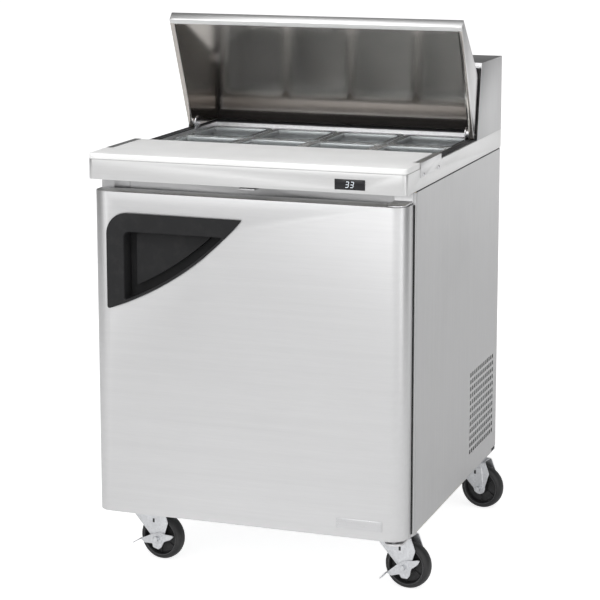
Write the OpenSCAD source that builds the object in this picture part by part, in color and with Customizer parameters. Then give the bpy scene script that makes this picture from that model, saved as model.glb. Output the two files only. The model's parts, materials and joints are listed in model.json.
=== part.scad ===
// One-door refrigerated sandwich prep table.
// +X is to the right, +Y to the back, +Z up. The origin is on the floor, below the middle of the counter.
// The lid is drawn open, leaning forward over the pans as far as its rear edge lets it.

/* [Counter] */
// Width of the counter
counter_w = 699; // [620:1:900]
// Depth of the counter, front band to back
counter_d = 762; // [720:1:860]
// Height of the counter top above the floor
top_h = 900; // [840:1:960]
// Height of the turned-down band
band_h = 42; // [34:1:60]
// How far the counter stands in front of the cabinet
overhang = 70; // [66:1:90]
// Radius of the counter's front corners
corner_r = 12; // [4:1:20]
// Sheet thickness of the stainless panels
sheet = 1.2; // [0.8:0.1:2]

/* [Cutting board] */
// Thickness of the cutting board
board_t = 12.5; // [10:0.5:20]
// Depth of the cutting board
board_d = 241; // [200:1:250]
// Depth of its full-width front part
board_ear = 94; // [60:1:130]
// How far each side steps in behind the front part
board_notch = 15.5; // [12:0.5:30]
// Length of each board bracket
bracket_l = 152; // [100:1:160]

/* [Pan well] */
// Number of pan columns
pan_cols = 4; // [4:1:4]
// Width of one pan over its rim
pan_w = 161; // [140:1:162]
// Length of one pan over its rim
pan_l = 175; // [140:1:175]
// Depth of one pan
pan_h = 100; // [60:1:100]
// Width of a pan's rim
pan_rim = 12; // [8:0.5:14]
// Wall thickness of a pan
pan_t = 2.5; // [1.5:0.1:4]
// Distance of the pan well behind the counter's front edge
well_y = 278; // [270:1:290]
// Clear length of the pan well
well_l = 387; // [370:1:400]

/* [Lid] */
// Reach of the lid's rim in front of its pivots
lid_reach = 273; // [250:1:280]
// Height of the ridge above the pivots, lid closed
lid_rise = 141; // [120:1:150]
// Distance of the ridge behind the pivots, lid closed
lid_back = 72; // [60:1:80]
// Height of the folded front lip
lip_h = 20; // [14:1:30]
// Thickness of the lid's double wall
lid_t = 10; // [8:0.5:14]
// Opening angle
lid_open = 67; // [60:1:67]
// Radius of the pivot pins
pivot_r = 5; // [4:0.5:6]
// Radial clearance of every pin in its bore
pin_gap = 0.06; // [0.02:0.01:0.09]

/* [Rear housing] */
// Height of the rear housing above the counter
housing_h = 171; // [165:1:200]
// Distance of its foot behind the counter's front edge
housing_y = 548; // [540:1:560]
// How far its front edge leans back at the top
housing_lean = 32; // [20:1:40]
// Thickness of its insulated back wall
housing_wall = 50; // [40:1:54]

/* [Cabinet] */
// Overall height of the casters, which is the cabinet's underside
caster_h = 130; // [125:1:150]
// Side insulation thickness
side_wall = 48; // [40:1:60]
// Floor insulation thickness
floor_wall = 64; // [40:1:80]
// Depth of the machine compartment
machine_d = 275; // [260:1:290]
// Height of the machine compartment
machine_h = 260; // [250:1:280]
// Columns of holes in the side vent
vent_cols = 13; // [6:1:13]
// Rows of holes in the side vent
vent_rows = 12; // [6:1:12]
// Width of a vent hole
vent_hole = 10; // [6:0.5:12]
// Spacing of the vent holes
vent_pitch = 16.4; // [14:0.1:17]

/* [Door] */
// Thickness of the door
door_t = 54; // [48:1:56]
// Radius of the door's two rounded edges
door_r = 32; // [20:1:34]
// Gap above and below the door
door_gap = 23; // [20:1:30]
// Depth of the handle recess
grip_d = 34; // [24:1:38]
// Width of the handle recess cover
grip_w = 303; // [220:1:320]
// Height of the handle recess cover
grip_h = 211; // [160:1:220]
// Radius of the sweeping edge of the handle
grip_r = 700; // [500:10:900]
// Width of the handle's border on its left and top
grip_border = 40; // [30:1:50]

/* [Casters] */
// Wheel radius
wheel_r = 51; // [45:0.5:52]
// Wheel width
wheel_w = 32; // [26:1:34]
// Trail of the wheel behind the swivel
trail = 44; // [36:1:46]
// Sideways place of the front swivels from the middle
swivel_x = 282; // [240:1:290]
// Sideways place of the rear swivels from the middle
rear_swivel_x = 290; // [240:1:292]
// Place of the front swivels behind the cabinet's front
swivel_in = 56; // [50:1:70]
// Direction in which the casters trail
caster_yaw = -9; // [-20:1:20]
// Axle radius
axle_r = 6; // [5:0.5:7]

/* [Hidden] */

$fn = 64;
eps = 0.01;
fit = 0.2;

// Counter and cabinet faces
half_w = counter_w / 2;
front_y = -counter_d / 2;
back_y = counter_d / 2;
cab_front = front_y + overhang;
cab_back = back_y - 6;
band_bottom = top_h - band_h;
seam = 3;
cab_top = band_bottom - seam;
inner_x = half_w - sheet;
frame_side = 10;
liner_t = 1;

// Storage cavity
cavity_x = half_w - side_wall;
cavity_floor = caster_h + floor_wall;
cavity_top = cab_top - 55;
cavity_back = cab_back - 54;
machine_front = cab_back - machine_d;
machine_top = caster_h + machine_h;
step_wall = 50;
step_y = machine_front - step_wall;
step_z = machine_top + step_wall;

// Screws of the board's side brackets
bracket_screws = [front_y + board_ear + 24, front_y + board_ear + bracket_l - 17];

// Pan well
well_x = pan_cols * pan_w / 2 + 4;
well_front = front_y + well_y;
well_back = well_front + well_l;
well_bottom = top_h - 120;
strip_t = 2;
strip_w = 20;
bar_top = top_h - 7;
bar_h = 12;
bar_w = 20;
pans_front = well_front + 3;
cross_y = pans_front + pan_l;

// Display in the front band
display_x = half_w - 119;
display_z = top_h - 24.5;

// Rear housing
housing_front = front_y + housing_y;
housing_top = top_h + housing_h;
housing_in = back_y - housing_wall;
housing_roof = 12;
edge_trim = 3.6;

// Lid, in its own frame: y back and z up from the pivot, lid closed
lid_half = half_w - 6.5;
rim_drop = 11.5;
pivot_y = front_y + 545;
pivot_z = top_h + strip_t + rim_drop + 1.5;
lip_a = [-lid_reach, -rim_drop];
lip_b = [-lid_reach - 8, -rim_drop + lip_h - 1.5];
ridge = [lid_back, lid_rise];
slope = atan((ridge[1] - lip_b[1]) / (ridge[0] - lip_b[0]));
lip_tilt = atan((lip_a[0] - lip_b[0]) / (lip_b[1] - lip_a[1]));
trim_t = 1.5;
bush_r = 8;

// Door
door_half = half_w - 4;
door_front = front_y + 8;
door_back = door_front + door_t;
door_bottom = caster_h + 3;
door_top = band_bottom - door_gap - 3;
hinge_x = door_half - 24.5;
hinge_y = door_back - 40;
hinge_r = 5;
gasket_out = hinge_x - 1;
gasket_w = 22;
frame_open_x = cavity_x - 3.5;
frame_open_bottom = cavity_floor - 4;
frame_open_top = cavity_top;
grip_x = -door_half + 34;
grip_top = door_top - 44;
grip_corner = 46;
grip_proud = 3;
grip_lip = 6;
grip_rim = 5;
grip_seat = 2;
grip_bottom = grip_top - grip_h;
grip_chord = norm([grip_w - 8, grip_h - 10]);
grip_turn = atan((grip_h - 10) / (grip_w - 8));
grip_dip = sqrt(grip_r * grip_r - grip_chord * grip_chord / 4);

// Casters
swivel_front = cab_front + swivel_in;
swivel_rear = back_y - 50;
caster_places = [[swivel_x, swivel_front], [rear_swivel_x, swivel_rear]];
plate_t = 3;
leg_t = 2.5;
leg_y = wheel_w / 2 + 2;
brake_t = 2.5;
crown_z = caster_h - 19;
race_r = 28;
king_r = 6;

// Shelf
shelf_z = cavity_floor + 300;
shelf_front = cab_front + 24;
shelf_back = step_y - 8;
rod_r = 3;
wire_r = 1.6;
wire_n = 17;

// Refrigeration
fan_r = 70;
cond_x = inner_x - 14;
cond_t = 38;
cond_y = (machine_front + cab_back) / 2;
cond_z = caster_h + 140;
evap_top = well_bottom - 5;
evap_z = evap_top - 100;
evap_fan_r = 58;
evap_front = cavity_back - 96;
comp_x = 20;
comp_y = cond_y + 8;
comp_r = 72;

module block(x0, x1, y0, y1, z0, z1) {
    translate([x0, y0, z0]) cube([x1 - x0, y1 - y0, z1 - z0]);
}

module both_sides() {
    children();
    mirror([1, 0, 0]) children();
}

// A prism along X: its outline is drawn as y, z
module along_x(x0, x1) {
    translate([x0, 0, 0]) rotate([90, 0, 90]) linear_extrude(height = x1 - x0) children();
}

// Plan outline with two rounded front corners
module plan(half, y0, y1, r) {
    translate([-half, y0 + r]) square([2 * half, y1 - y0 - r]);
    translate([-half + r, y0]) square([2 * half - 2 * r, r + eps]);
    for (s = [-1, 1]) {
        intersection() {
            translate([s * (half - r), y0 + r]) circle(r = r);
            translate([-half, y0]) square([2 * half, r + eps]);
        }
    }
}

module rod_x(x0, x1, y, z, r) {
    translate([x0, y, z]) rotate([0, 90, 0]) cylinder(r = r, h = x1 - x0);
}

module rod_y(x, y0, y1, z, r) {
    translate([x, y0, z]) rotate([-90, 0, 0]) cylinder(r = r, h = y1 - y0);
}

// ---- Cabinet ----

module side_panel() {
    notch = 36;
    vent_y = cond_y - (vent_cols - 1) * vent_pitch / 2;
    vent_z = caster_h + 52;
    difference() {
        along_x(inner_x, half_w) polygon([
            [cab_front + frame_side, caster_h + 3], [cab_back - notch, caster_h + 3],
            [cab_back - notch, caster_h + 10], [cab_back, caster_h + 10],
            [cab_back, cab_top], [cab_front + frame_side, cab_top]
        ]);
        for (i = [0 : vent_cols - 1]) {
            for (j = [0 : vent_rows - 1]) {
                translate([inner_x - 1, vent_y + i * vent_pitch - vent_hole / 2, vent_z + j * vent_pitch])
                    cube([sheet + 2, vent_hole, vent_hole]);
            }
        }
    }
}

module side_panel_left() {
    color([0.66, 0.67, 0.68]) mirror([1, 0, 0]) side_panel();
}

module side_panel_right() {
    color([0.66, 0.67, 0.68]) side_panel();
}

module back_panel() {
    slot_w = 120;
    slot_h = 8;
    color([0.62, 0.63, 0.64]) difference() {
        block(-inner_x, inner_x, cab_back - sheet, cab_back, caster_h, cab_top);
        for (x = [-220, -60, 100]) {
            for (j = [0 : 8]) {
                translate([x, cab_back - 3, caster_h + 50 + j * 22]) cube([slot_w, 6, slot_h]);
            }
        }
        rod_y(-270, cab_back - 5, cab_back + 5, caster_h + 60, 9);
    }
}

module base_pan() {
    color([0.6, 0.61, 0.62]) {
        block(-inner_x, inner_x, cab_front + sheet, cab_back - sheet, caster_h, caster_h + sheet);
    }
}

module front_frame() {
    color([0.8, 0.8, 0.81]) difference() {
        block(-half_w, half_w, cab_front, cab_front + frame_side, caster_h, cab_top);
        block(-inner_x, inner_x, cab_front + sheet, cab_front + frame_side + 1,
            caster_h - 1, cab_top + 1);
        block(-frame_open_x, frame_open_x, cab_front - 1, cab_front + 5, frame_open_bottom,
            frame_open_top);
    }
    color([0.8, 0.8, 0.81]) {
        // Stop tab that hangs from the counter, and the reversible hinge's blanking plate
        block(-12, 25, front_y + 2, cab_front, band_bottom - 6, band_bottom - 3);
        block(-half_w + 30, -half_w + 66, cab_front - 1.5, cab_front, cab_top - 24, cab_top - 2);
    }
}

module cavity(g) {
    block(-cavity_x - g, cavity_x + g, cab_front + sheet, step_y + g, cavity_floor - g, cavity_top + g);
    block(-cavity_x - g, cavity_x + g, step_y - 20, cavity_back + g, step_z - g, cavity_top + g);
}

module well(g) {
    block(-well_x - g, well_x + g, well_front - g, well_back + g, well_bottom - g, top_h + g);
}

module insulation() {
    joint = 0.2;
    y0 = cab_front + sheet;
    y1 = cab_back - sheet;
    z0 = caster_h + sheet;
    z1 = top_h - sheet;
    wall_x = cavity_x + liner_t;
    mid_x = wall_x - joint;
    rim_x = well_x + liner_t;
    lid_x = rim_x - joint;
    sill = frame_open_bottom - 2;
    floor_z = cavity_floor - liner_t;
    shelf_top = step_z - liner_t;
    rim_z = well_bottom - liner_t;
    back = cavity_back + liner_t;
    color([0.93, 0.86, 0.66]) {
        // Side walls
        both_sides() {
            block(wall_x, inner_x, y0, machine_front, z0, rim_z);
            block(wall_x, inner_x, machine_front + joint, y1, machine_top, rim_z);
            block(rim_x, inner_x, y0, y1, rim_z + joint, cab_top);
            block(rim_x, inner_x - 8, y0, cab_back - 10, cab_top + joint, z1);
        }
        // Floor, with a step behind the door's sill
        block(-mid_x, mid_x, y0, machine_front, z0, sill);
        block(-mid_x, mid_x, cab_front + 12, machine_front, sill + joint, floor_z);
        // Wall in front of the machine space, and roof above it
        block(-mid_x, mid_x, step_y + liner_t, machine_front, floor_z + joint, shelf_top);
        block(-mid_x, mid_x, machine_front + joint, y1, machine_top, shelf_top);
        // Back wall
        block(-mid_x, mid_x, back, y1, shelf_top + joint, rim_z);
        block(-lid_x, lid_x, back, y1, rim_z + joint, cab_top);
        block(-lid_x, lid_x, back, cab_back - 10, cab_top + joint, z1);
        // Ceiling in front of and behind the pan well
        block(-lid_x, lid_x, y0, well_front - liner_t, cavity_top + liner_t, z1);
        block(-lid_x, lid_x, well_back + liner_t, back - joint, cavity_top + liner_t, z1);
        // Rear housing
        block(-inner_x + edge_trim, inner_x - edge_trim, housing_in, back_y - sheet,
            top_h, housing_top - sheet);
        block(-inner_x + edge_trim, inner_x - edge_trim, housing_front + housing_lean + 8,
            housing_in - joint, housing_top - housing_roof, housing_top - sheet);
    }
}

module inner_liner() {
    color([0.85, 0.86, 0.87]) difference() {
        cavity(liner_t);
        cavity(0);
        well(liner_t);
        block(-cavity_x, cavity_x, cab_front - 1, cab_front + sheet + 5, cavity_floor, cavity_top);
    }
}

module shelf_pilasters() {
    strip = 1.5;
    clip = 9;
    color([0.75, 0.76, 0.77]) both_sides() {
        for (y = [shelf_front + 30, shelf_back - 40]) {
            block(cavity_x - strip, cavity_x, y, y + 16, cavity_floor + 30, shelf_z + 200);
            block(cavity_x - clip, cavity_x - strip, y + 3, y + 13, shelf_z - 14, shelf_z - rod_r - fit);
        }
    }
}

module shelf() {
    half = cavity_x - 5;
    step = (2 * half - 20) / (wire_n - 1);
    color([0.9, 0.9, 0.88]) translate([0, 0, shelf_z]) {
        for (y = [shelf_front, (shelf_front + shelf_back) / 2, shelf_back]) {
            rod_x(-half, half, y, 0, rod_r - 0.6);
        }
        for (s = [-1, 1]) {
            rod_y(s * half, shelf_front - 6, shelf_back + 6, 0, rod_r);
        }
        for (i = [0 : wire_n - 1]) {
            rod_y(-half + 10 + i * step, shelf_front - 5, shelf_back + 5, rod_r - 0.2, wire_r);
        }
    }
}

// ---- Counter and pan well ----

module counter_top() {
    window_w = 64;
    window_h = 20;
    color([0.82, 0.82, 0.83]) difference() {
        translate([0, 0, band_bottom]) linear_extrude(height = band_h)
            plan(half_w, front_y, back_y, corner_r);
        translate([0, 0, band_bottom + sheet]) linear_extrude(height = band_h - 2 * sheet)
            plan(inner_x, front_y + sheet, back_y - sheet, corner_r - sheet);
        block(-inner_x + 8, inner_x - 8, cab_front + sheet, cab_back - 10, band_bottom - 1,
            band_bottom + 2 * sheet);
        block(-well_x - liner_t, well_x + liner_t, well_front - liner_t, well_back + liner_t,
            top_h - 5, top_h + 5);
        block(display_x - window_w / 2, display_x + window_w / 2, front_y - 1, front_y + 5,
            display_z - window_h / 2, display_z + window_h / 2);
        both_sides() for (y = bracket_screws) rod_x(half_w - 5, half_w + 5, y, top_h - 15, 2.2);
    }
}

module display_module() {
    bezel_w = 64.5;
    bezel_h = 21.5;
    color([0.04, 0.04, 0.05]) {
        block(display_x - bezel_w / 2, display_x + bezel_w / 2, front_y - 0.8, front_y,
            display_z - bezel_h / 2, display_z + bezel_h / 2);
        block(display_x - 31.5, display_x + 31.5, front_y, front_y + 42, display_z - 9.5, display_z + 9.5);
    }
}

module well_liner() {
    color([0.78, 0.79, 0.8]) difference() {
        well(liner_t);
        well(0);
        cavity(0);
        block(-half_w, half_w, front_y, back_y, top_h, top_h + 5);
    }
}

module breaker_strip() {
    strip_half = well_x + strip_w;
    color([0.07, 0.07, 0.08]) difference() {
        block(-strip_half, strip_half, well_front - 15, housing_in - fit, top_h, top_h + strip_t);
        block(-well_x, well_x, well_front, well_back, top_h - 1, top_h + 5);
        both_sides() {
            block(well_x + 8, well_x + 12, well_front - 5, housing_in - 20, top_h + 1, top_h + 5);
        }
    }
}

module pan_support_bars() {
    half = pan_cols * pan_w / 2;
    pans_back = pans_front + 2 * pan_l;
    z0 = bar_top - bar_h;
    color([0.8, 0.81, 0.82]) {
        // Bars that run from front to back, with one at each side wall
        for (i = [0 : pan_cols]) {
            x = -half + i * pan_w;
            block(max(x - bar_w / 2, -well_x), min(x + bar_w / 2, well_x), well_front, pans_back + 3, z0, bar_top);
        }
        // Short bars between them
        for (i = [0 : pan_cols - 1]) {
            x0 = -half + i * pan_w + bar_w / 2 + fit;
            x1 = x0 + pan_w - bar_w - 2 * fit;
            block(x0, x1, well_front, pans_front + bar_w / 2, z0, bar_top);
            block(x0, x1, cross_y - bar_w / 2, cross_y + bar_w / 2, z0, bar_top);
            block(x0, x1, pans_back - bar_w / 2, pans_back + 3, z0, bar_top);
        }
    }
}

module air_duct() {
    y0 = pans_front + 2 * pan_l + 5;
    color([0.8, 0.81, 0.82]) difference() {
        block(-well_x + 1, well_x - 1, y0, well_back - 0.5, bar_top - 26, bar_top);
        block(-well_x + 3, well_x - 3, y0 + 1.2, well_back - 1.7, bar_top - 30, bar_top - 1.2);
        for (i = [0 : 15]) {
            translate([-300 + i * 38, y0 - 1, bar_top - 18]) cube([26, 4, 6]);
        }
    }
}

module pan(i, j) {
    x = -pan_cols * pan_w / 2 + (i + 0.5) * pan_w;
    y = pans_front + (j + 0.5) * pan_l;
    w = pan_w - 1;
    l = pan_l - 1;
    taper = 9;
    body_w = w - 2 * pan_rim;
    body_l = l - 2 * pan_rim;
    color([0.86, 0.9, 0.92, 0.45]) translate([x, y, bar_top]) difference() {
        union() {
            block(-w / 2, w / 2, -l / 2, l / 2, fit, 3 + fit);
            pan_body(body_w, body_l, taper, -pan_h + 3, 1);
        }
        pan_body(body_w - 2 * pan_t, body_l - 2 * pan_t, taper, -pan_h + 3 + pan_t, 4);
    }
}

// Tapered tub from z = bottom up to z = top
module pan_body(w, l, taper, bottom, top) {
    hull() {
        block(-w / 2, w / 2, -l / 2, l / 2, top - 0.5, top);
        block(-w / 2 + taper, w / 2 - taper, -l / 2 + taper, l / 2 - taper, bottom, bottom + 0.5);
    }
}

module board_brackets() {
    y0 = front_y + board_ear + 2;
    color([0.75, 0.75, 0.76]) both_sides() difference() {
        union() {
            block(half_w, half_w + 1.5, y0, y0 + bracket_l, top_h - 19, top_h + 12);
            block(half_w - board_notch + 2, half_w + 1.5, y0, y0 + bracket_l, top_h + 10.8, top_h + 12);
        }
        for (y = bracket_screws) {
            rod_x(half_w - 1, half_w + 3, y, top_h - 15, 2.2);
        }
    }
}

module cutting_board() {
    color([0.93, 0.93, 0.92]) translate([0, 0, top_h + fit]) linear_extrude(height = board_t) {
        plan(half_w, front_y, front_y + board_ear, corner_r);
        translate([-half_w + board_notch, front_y + board_ear - eps])
            square([2 * (half_w - board_notch), board_d - board_ear]);
    }
}

// ---- Rear housing ----

module rear_housing() {
    lip = housing_front + housing_lean;
    color([0.72, 0.73, 0.74]) difference() {
        along_x(-half_w, half_w) polygon([
            [housing_front, top_h], [back_y, top_h], [back_y, housing_top], [lip, housing_top]
        ]);
        along_x(-inner_x, inner_x) polygon([
            [front_y, top_h - 1], [back_y - sheet, top_h - 1], [back_y - sheet, housing_top - sheet],
            [lip + sheet, housing_top - sheet], [lip + sheet - 2, housing_top - housing_roof],
            [front_y, housing_top - housing_roof]
        ]);
    }
    color([0.72, 0.73, 0.74]) {
        block(-inner_x + edge_trim, inner_x - edge_trim, housing_in - 1, housing_in, top_h + strip_t + fit,
            housing_top - housing_roof);
        block(-inner_x + edge_trim, inner_x - edge_trim, lip - 2, housing_in - eps,
            housing_top - housing_roof - 1, housing_top - housing_roof);
    }
}

module rubber_trim() {
    edge = [housing_lean, housing_h - housing_roof - 2];
    color([0.05, 0.05, 0.06]) {
        // Seam strip between the counter and the cabinet
        difference() {
            block(-inner_x, inner_x, cab_front + frame_side, cab_back, cab_top, band_bottom);
            block(-inner_x + 7.5, inner_x - 7.5, cab_front, cab_back - 9, cab_top - 1, band_bottom + 1);
        }
        // Edge trim on the housing's sides
        both_sides() along_x(inner_x - edge_trim + fit, inner_x) polygon([
            [housing_front + 1, top_h + strip_t + 1], [housing_front + 15, top_h + strip_t + 1],
            [housing_front + 13 + edge[0], top_h + edge[1]], [housing_front - 1 + edge[0], top_h + edge[1]]
        ]);
        // Bumpers that the open lid rests on
        for (x = [-250, 0, 250]) {
            translate([x, housing_in - 20, top_h + strip_t]) cylinder(r = 7, h = 1.3);
        }
    }
}

module lid_pivot_brackets() {
    x0 = well_x - 2.2;
    color([0.8, 0.8, 0.82]) both_sides() {
        difference() {
            union() {
                block(x0, well_x, pivot_y - 15, pivot_y + 15, bar_top + 5, pivot_z);
                rod_x(x0, well_x, pivot_y, pivot_z, 15);
            }
            block(0, half_w, pivot_y - 20, pivot_y + 20, 0, bar_top + 5);
        }
        rod_x(well_x, lid_half - lid_t - 0.5, pivot_y, pivot_z, 9);
        rod_x(well_x, lid_half, pivot_y, pivot_z, pivot_r);
    }
}

// ---- Lid ----

// Everything inside is drawn for the closed lid, then opened
module lid_place() {
    translate([0, pivot_y, pivot_z]) rotate([-lid_open, 0, 0]) children();
}

// Side outline of the lid, with its slope and lip moved in by t
module lid_outline(t) {
    a = slope;
    n = [sin(a), -cos(a)];
    m = [cos(lip_tilt), sin(lip_tilt)];
    s = lip_b + t * n;
    p = lip_b + t * m;
    // Corner where the moved slope and the moved lip meet
    d = [cos(a), sin(a)];
    e = [-sin(lip_tilt), cos(lip_tilt)];
    w = p - s;
    k = (w[0] * e[1] - w[1] * e[0]) / (d[0] * e[1] - d[1] * e[0]);
    corner = s + k * d;
    far = 40;
    polygon([
        corner, ridge + t * n + (t > 0 ? far : 0) * d,
        t > 0 ? [ridge[0] + far + 60, -far] : [rim_drop, -2],
        t > 0 ? [-lid_reach, -far] : [rim_drop * sin(25), -rim_drop],
        t > 0 ? p - (far + lip_h) * e : lip_a
    ]);
}

module lid_prism(t) {
    half = lid_half - t;
    along_x(-half, half) lid_outline(t);
    if (t == 0) {
        both_sides() rod_x(lid_half - lid_t, lid_half, 0, 0, rim_drop);
    }
}

// Region left after the free edges are moved in by g
module lid_region(g) {
    run = ridge - [rim_drop, -2];
    unit = run / norm(run);
    side = [-unit[1], unit[0]];
    foot = [rim_drop, -2] + g * side;
    along_x(-half_w, half_w) polygon([
        foot + 400 * unit, foot + (rim_drop - 2 - g) / unit[1] * (-unit), [-600, -rim_drop + g], [-600, 400]
    ]);
}

module lid_bores(r) {
    both_sides() rod_x(lid_half - lid_t - 1, lid_half + 1, 0, 0, r);
}

module lid_layer(t0, t1) {
    lid_place() difference() {
        intersection() {
            lid_prism(t0);
            lid_region(trim_t);
        }
        lid_prism(t1);
        lid_bores(bush_r);
    }
}

module lid_outer_skin() {
    color([0.8, 0.8, 0.81]) lid_layer(0, 1.2);
}

module lid_foam() {
    color([0.93, 0.86, 0.66]) lid_layer(1.2, lid_t - 1);
}

module lid_inner_skin() {
    color([0.55, 0.55, 0.56]) lid_layer(lid_t - 1, lid_t);
}

module lid_edge_trim() {
    color([0.78, 0.78, 0.79]) lid_place() {
        difference() {
            lid_prism(0);
            lid_region(trim_t);
            lid_prism(lid_t);
            lid_bores(bush_r);
        }
        both_sides() difference() {
            rod_x(lid_half - lid_t, lid_half, 0, 0, bush_r);
            lid_bores(pivot_r + pin_gap);
        }
    }
}

// ---- Door ----

module door_block(g, z0, z1) {
    translate([0, 0, z0]) linear_extrude(height = z1 - z0)
        plan(door_half - g, door_front + g, door_back - g, door_r - g);
}

module hinge_bores(r) {
    translate([hinge_x, hinge_y, door_bottom - 1]) cylinder(r = r, h = 26);
    translate([hinge_x, hinge_y, door_top - 25]) cylinder(r = r, h = 26);
}

// The handle's outline, moved in by g at its border and by c at its sweeping edge
module grip_outline(g, c, y0, y1) {
    x1 = grip_x + grip_w;
    r = max(grip_corner - g, 3);
    mid = [grip_x + (grip_w + 8) / 2, (grip_top + grip_bottom) / 2 + 1];
    centre = mid + grip_dip * [-sin(grip_turn), cos(grip_turn)];
    intersection() {
        union() {
            block(grip_x + g + r, x1 - c, y0, y1, grip_bottom + c, grip_top - g);
            block(grip_x + g, grip_x + g + r + eps, y0, y1, grip_bottom + c, grip_top - g - r);
            rod_y(grip_x + g + r, y0, y1, grip_top - g - r, r);
        }
        translate([centre[0], y0, centre[1]]) rotate([-90, 0, 0]) cylinder(r = grip_r - c, h = y1 - y0, $fn = 200);
    }
}

module door_skin() {
    color([0.83, 0.83, 0.84]) difference() {
        door_block(0, door_bottom, door_top);
        door_block(1, door_bottom + 1, door_top - 1);
        block(-door_half + 12, door_half - 12, door_back - 2, door_back + 1, door_bottom + 12, door_top - 12);
        grip_outline(grip_lip, grip_seat, door_front - 1, door_front + 5);
        hinge_bores(hinge_r + 2.5);
    }
}

module door_foam() {
    color([0.93, 0.86, 0.66]) difference() {
        door_block(1, door_bottom + 1, door_top - 1);
        block(-door_half, door_half, door_back - 2, door_back, door_bottom, door_top);
        grip_outline(grip_lip, grip_seat, door_front - 1, door_front + grip_d + 3);
        hinge_bores(hinge_r + 2.5);
    }
}

module door_liner() {
    raise = 5;
    inset = gasket_w + 2;
    color([0.85, 0.86, 0.87]) {
        difference() {
            union() {
                block(-door_half + 12, door_half - 12, door_back - 2, door_back, door_bottom + 12, door_top - 12);
                block(-gasket_out + inset, gasket_out - inset, door_back - 2, door_back + raise,
                    frame_open_bottom + 6, frame_open_top - 6);
            }
            block(-gasket_out + inset + 1, gasket_out - inset - 1, door_back - 3, door_back + raise - 1,
                frame_open_bottom + 7, frame_open_top - 7);
        }
        // Hinge bushes
        difference() {
            hinge_bores(hinge_r + 2.5);
            translate([0, 0, -1]) hinge_bores(hinge_r + pin_gap);
            translate([0, 0, 1]) hinge_bores(hinge_r + pin_gap);
            block(0, half_w, door_front, door_back, door_bottom - 5, door_bottom);
            block(0, half_w, door_front, door_back, door_top, door_top + 5);
        }
    }
}

module door_gasket() {
    z0 = frame_open_bottom - gasket_w;
    z1 = frame_open_top + gasket_w;
    color([0.12, 0.12, 0.13]) difference() {
        block(-gasket_out, gasket_out, door_back, cab_front - 0.3, z0, z1);
        block(-gasket_out + gasket_w, gasket_out - gasket_w, door_back - 1, cab_front + 1,
            z0 + gasket_w, z1 - gasket_w);
    }
}

module door_handle() {
    y0 = door_front - grip_proud;
    floor_y = door_front + grip_d;
    color([0.08, 0.08, 0.09]) difference() {
        union() {
            grip_outline(0, 0, y0, door_front);
            grip_outline(grip_lip, grip_seat, door_front - eps, floor_y + 3);
        }
        grip_outline(grip_border, grip_rim, y0 - 1, floor_y);
    }
}

module door_badge() {
    color([0.75, 0.76, 0.78])
        block(door_half - 145, door_half - 45, door_front - 1.6, door_front, door_bottom + 20,
            door_bottom + 41);
}

module door_hinge_plates() {
    pin = 22;
    color([0.78, 0.78, 0.8]) {
        // Top plate
        block(hinge_x - 18, hinge_x + 22, hinge_y, cab_front, door_top + 2, door_top + 5);
        translate([hinge_x + 2, hinge_y, door_top + 2]) cylinder(r = 20, h = 3);
        block(hinge_x - 18, hinge_x + 22, cab_front - 3, cab_front, door_top + 5, cab_top - 2);
        translate([hinge_x, hinge_y, door_top - pin]) cylinder(r = hinge_r, h = pin + 3);
        // Bottom plate
        block(hinge_x - 18, hinge_x + 22, hinge_y, cab_front + sheet, caster_h - 4, caster_h);
        translate([hinge_x + 2, hinge_y, caster_h - 4]) cylinder(r = 20, h = 4);
        block(swivel_x + 47, hinge_x + 22, cab_front, cab_front + 50, caster_h - 4, caster_h);
        translate([hinge_x, hinge_y, caster_h - 2]) cylinder(r = hinge_r, h = pin + 4);
    }
}

// ---- Refrigeration ----

module evaporator_cover() {
    half = 230;
    z0 = evap_z - 95;
    z1 = evap_top;
    color([0.88, 0.88, 0.86]) difference() {
        block(-half, half, evap_front, cavity_back - 0.5, z0, z1);
        block(-half + 1.2, half - 1.2, evap_front + 1.2, cavity_back + 1, z0 + 1.2, z1 - 1.2);
        block(-half + 30, half - 30, evap_front + 30, cavity_back - 30, z0 - 1, z0 + 5);
        rod_y(0, evap_front - 1, evap_front + 5, evap_z, evap_fan_r + 3);
    }
}

module evaporator_coil() {
    tube_r = 5;
    color([0.78, 0.8, 0.83]) {
        block(-200, 200, cavity_back - 50, cavity_back - 6, evap_z - 80, evap_z + 80);
        for (i = [0 : 5]) {
            rod_x(200, 214, cavity_back - 28, evap_z - 62 + i * 25, tube_r);
            rod_x(-214, -200, cavity_back - 28, evap_z - 62 + i * 25, tube_r);
        }
        // Fan motor on the coil's front
        rod_y(0, evap_front + 34, cavity_back - 50, evap_z, 20);
        rod_y(0, evap_front + 8, evap_front + 34, evap_z, 3);
    }
}

// Propeller about Y, hub and blades
module propeller(r, depth, bore) {
    rotate([-90, 0, 0]) difference() {
        union() {
            cylinder(r = r * 0.26, h = depth);
            for (i = [0 : 4]) {
                rotate([0, 0, i * 72]) translate([r * 0.2, 0, depth / 2]) rotate([24, 0, 0])
                    translate([0, -r * 0.22, -0.8]) cube([r * 0.76, r * 0.44, 1.6]);
            }
        }
        translate([0, 0, -1]) cylinder(r = bore, h = depth + 2);
    }
}

module evaporator_fan() {
    color([0.15, 0.15, 0.16]) translate([0, evap_front + 10, evap_z]) propeller(evap_fan_r, 20, 3 + pin_gap);
}

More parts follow.
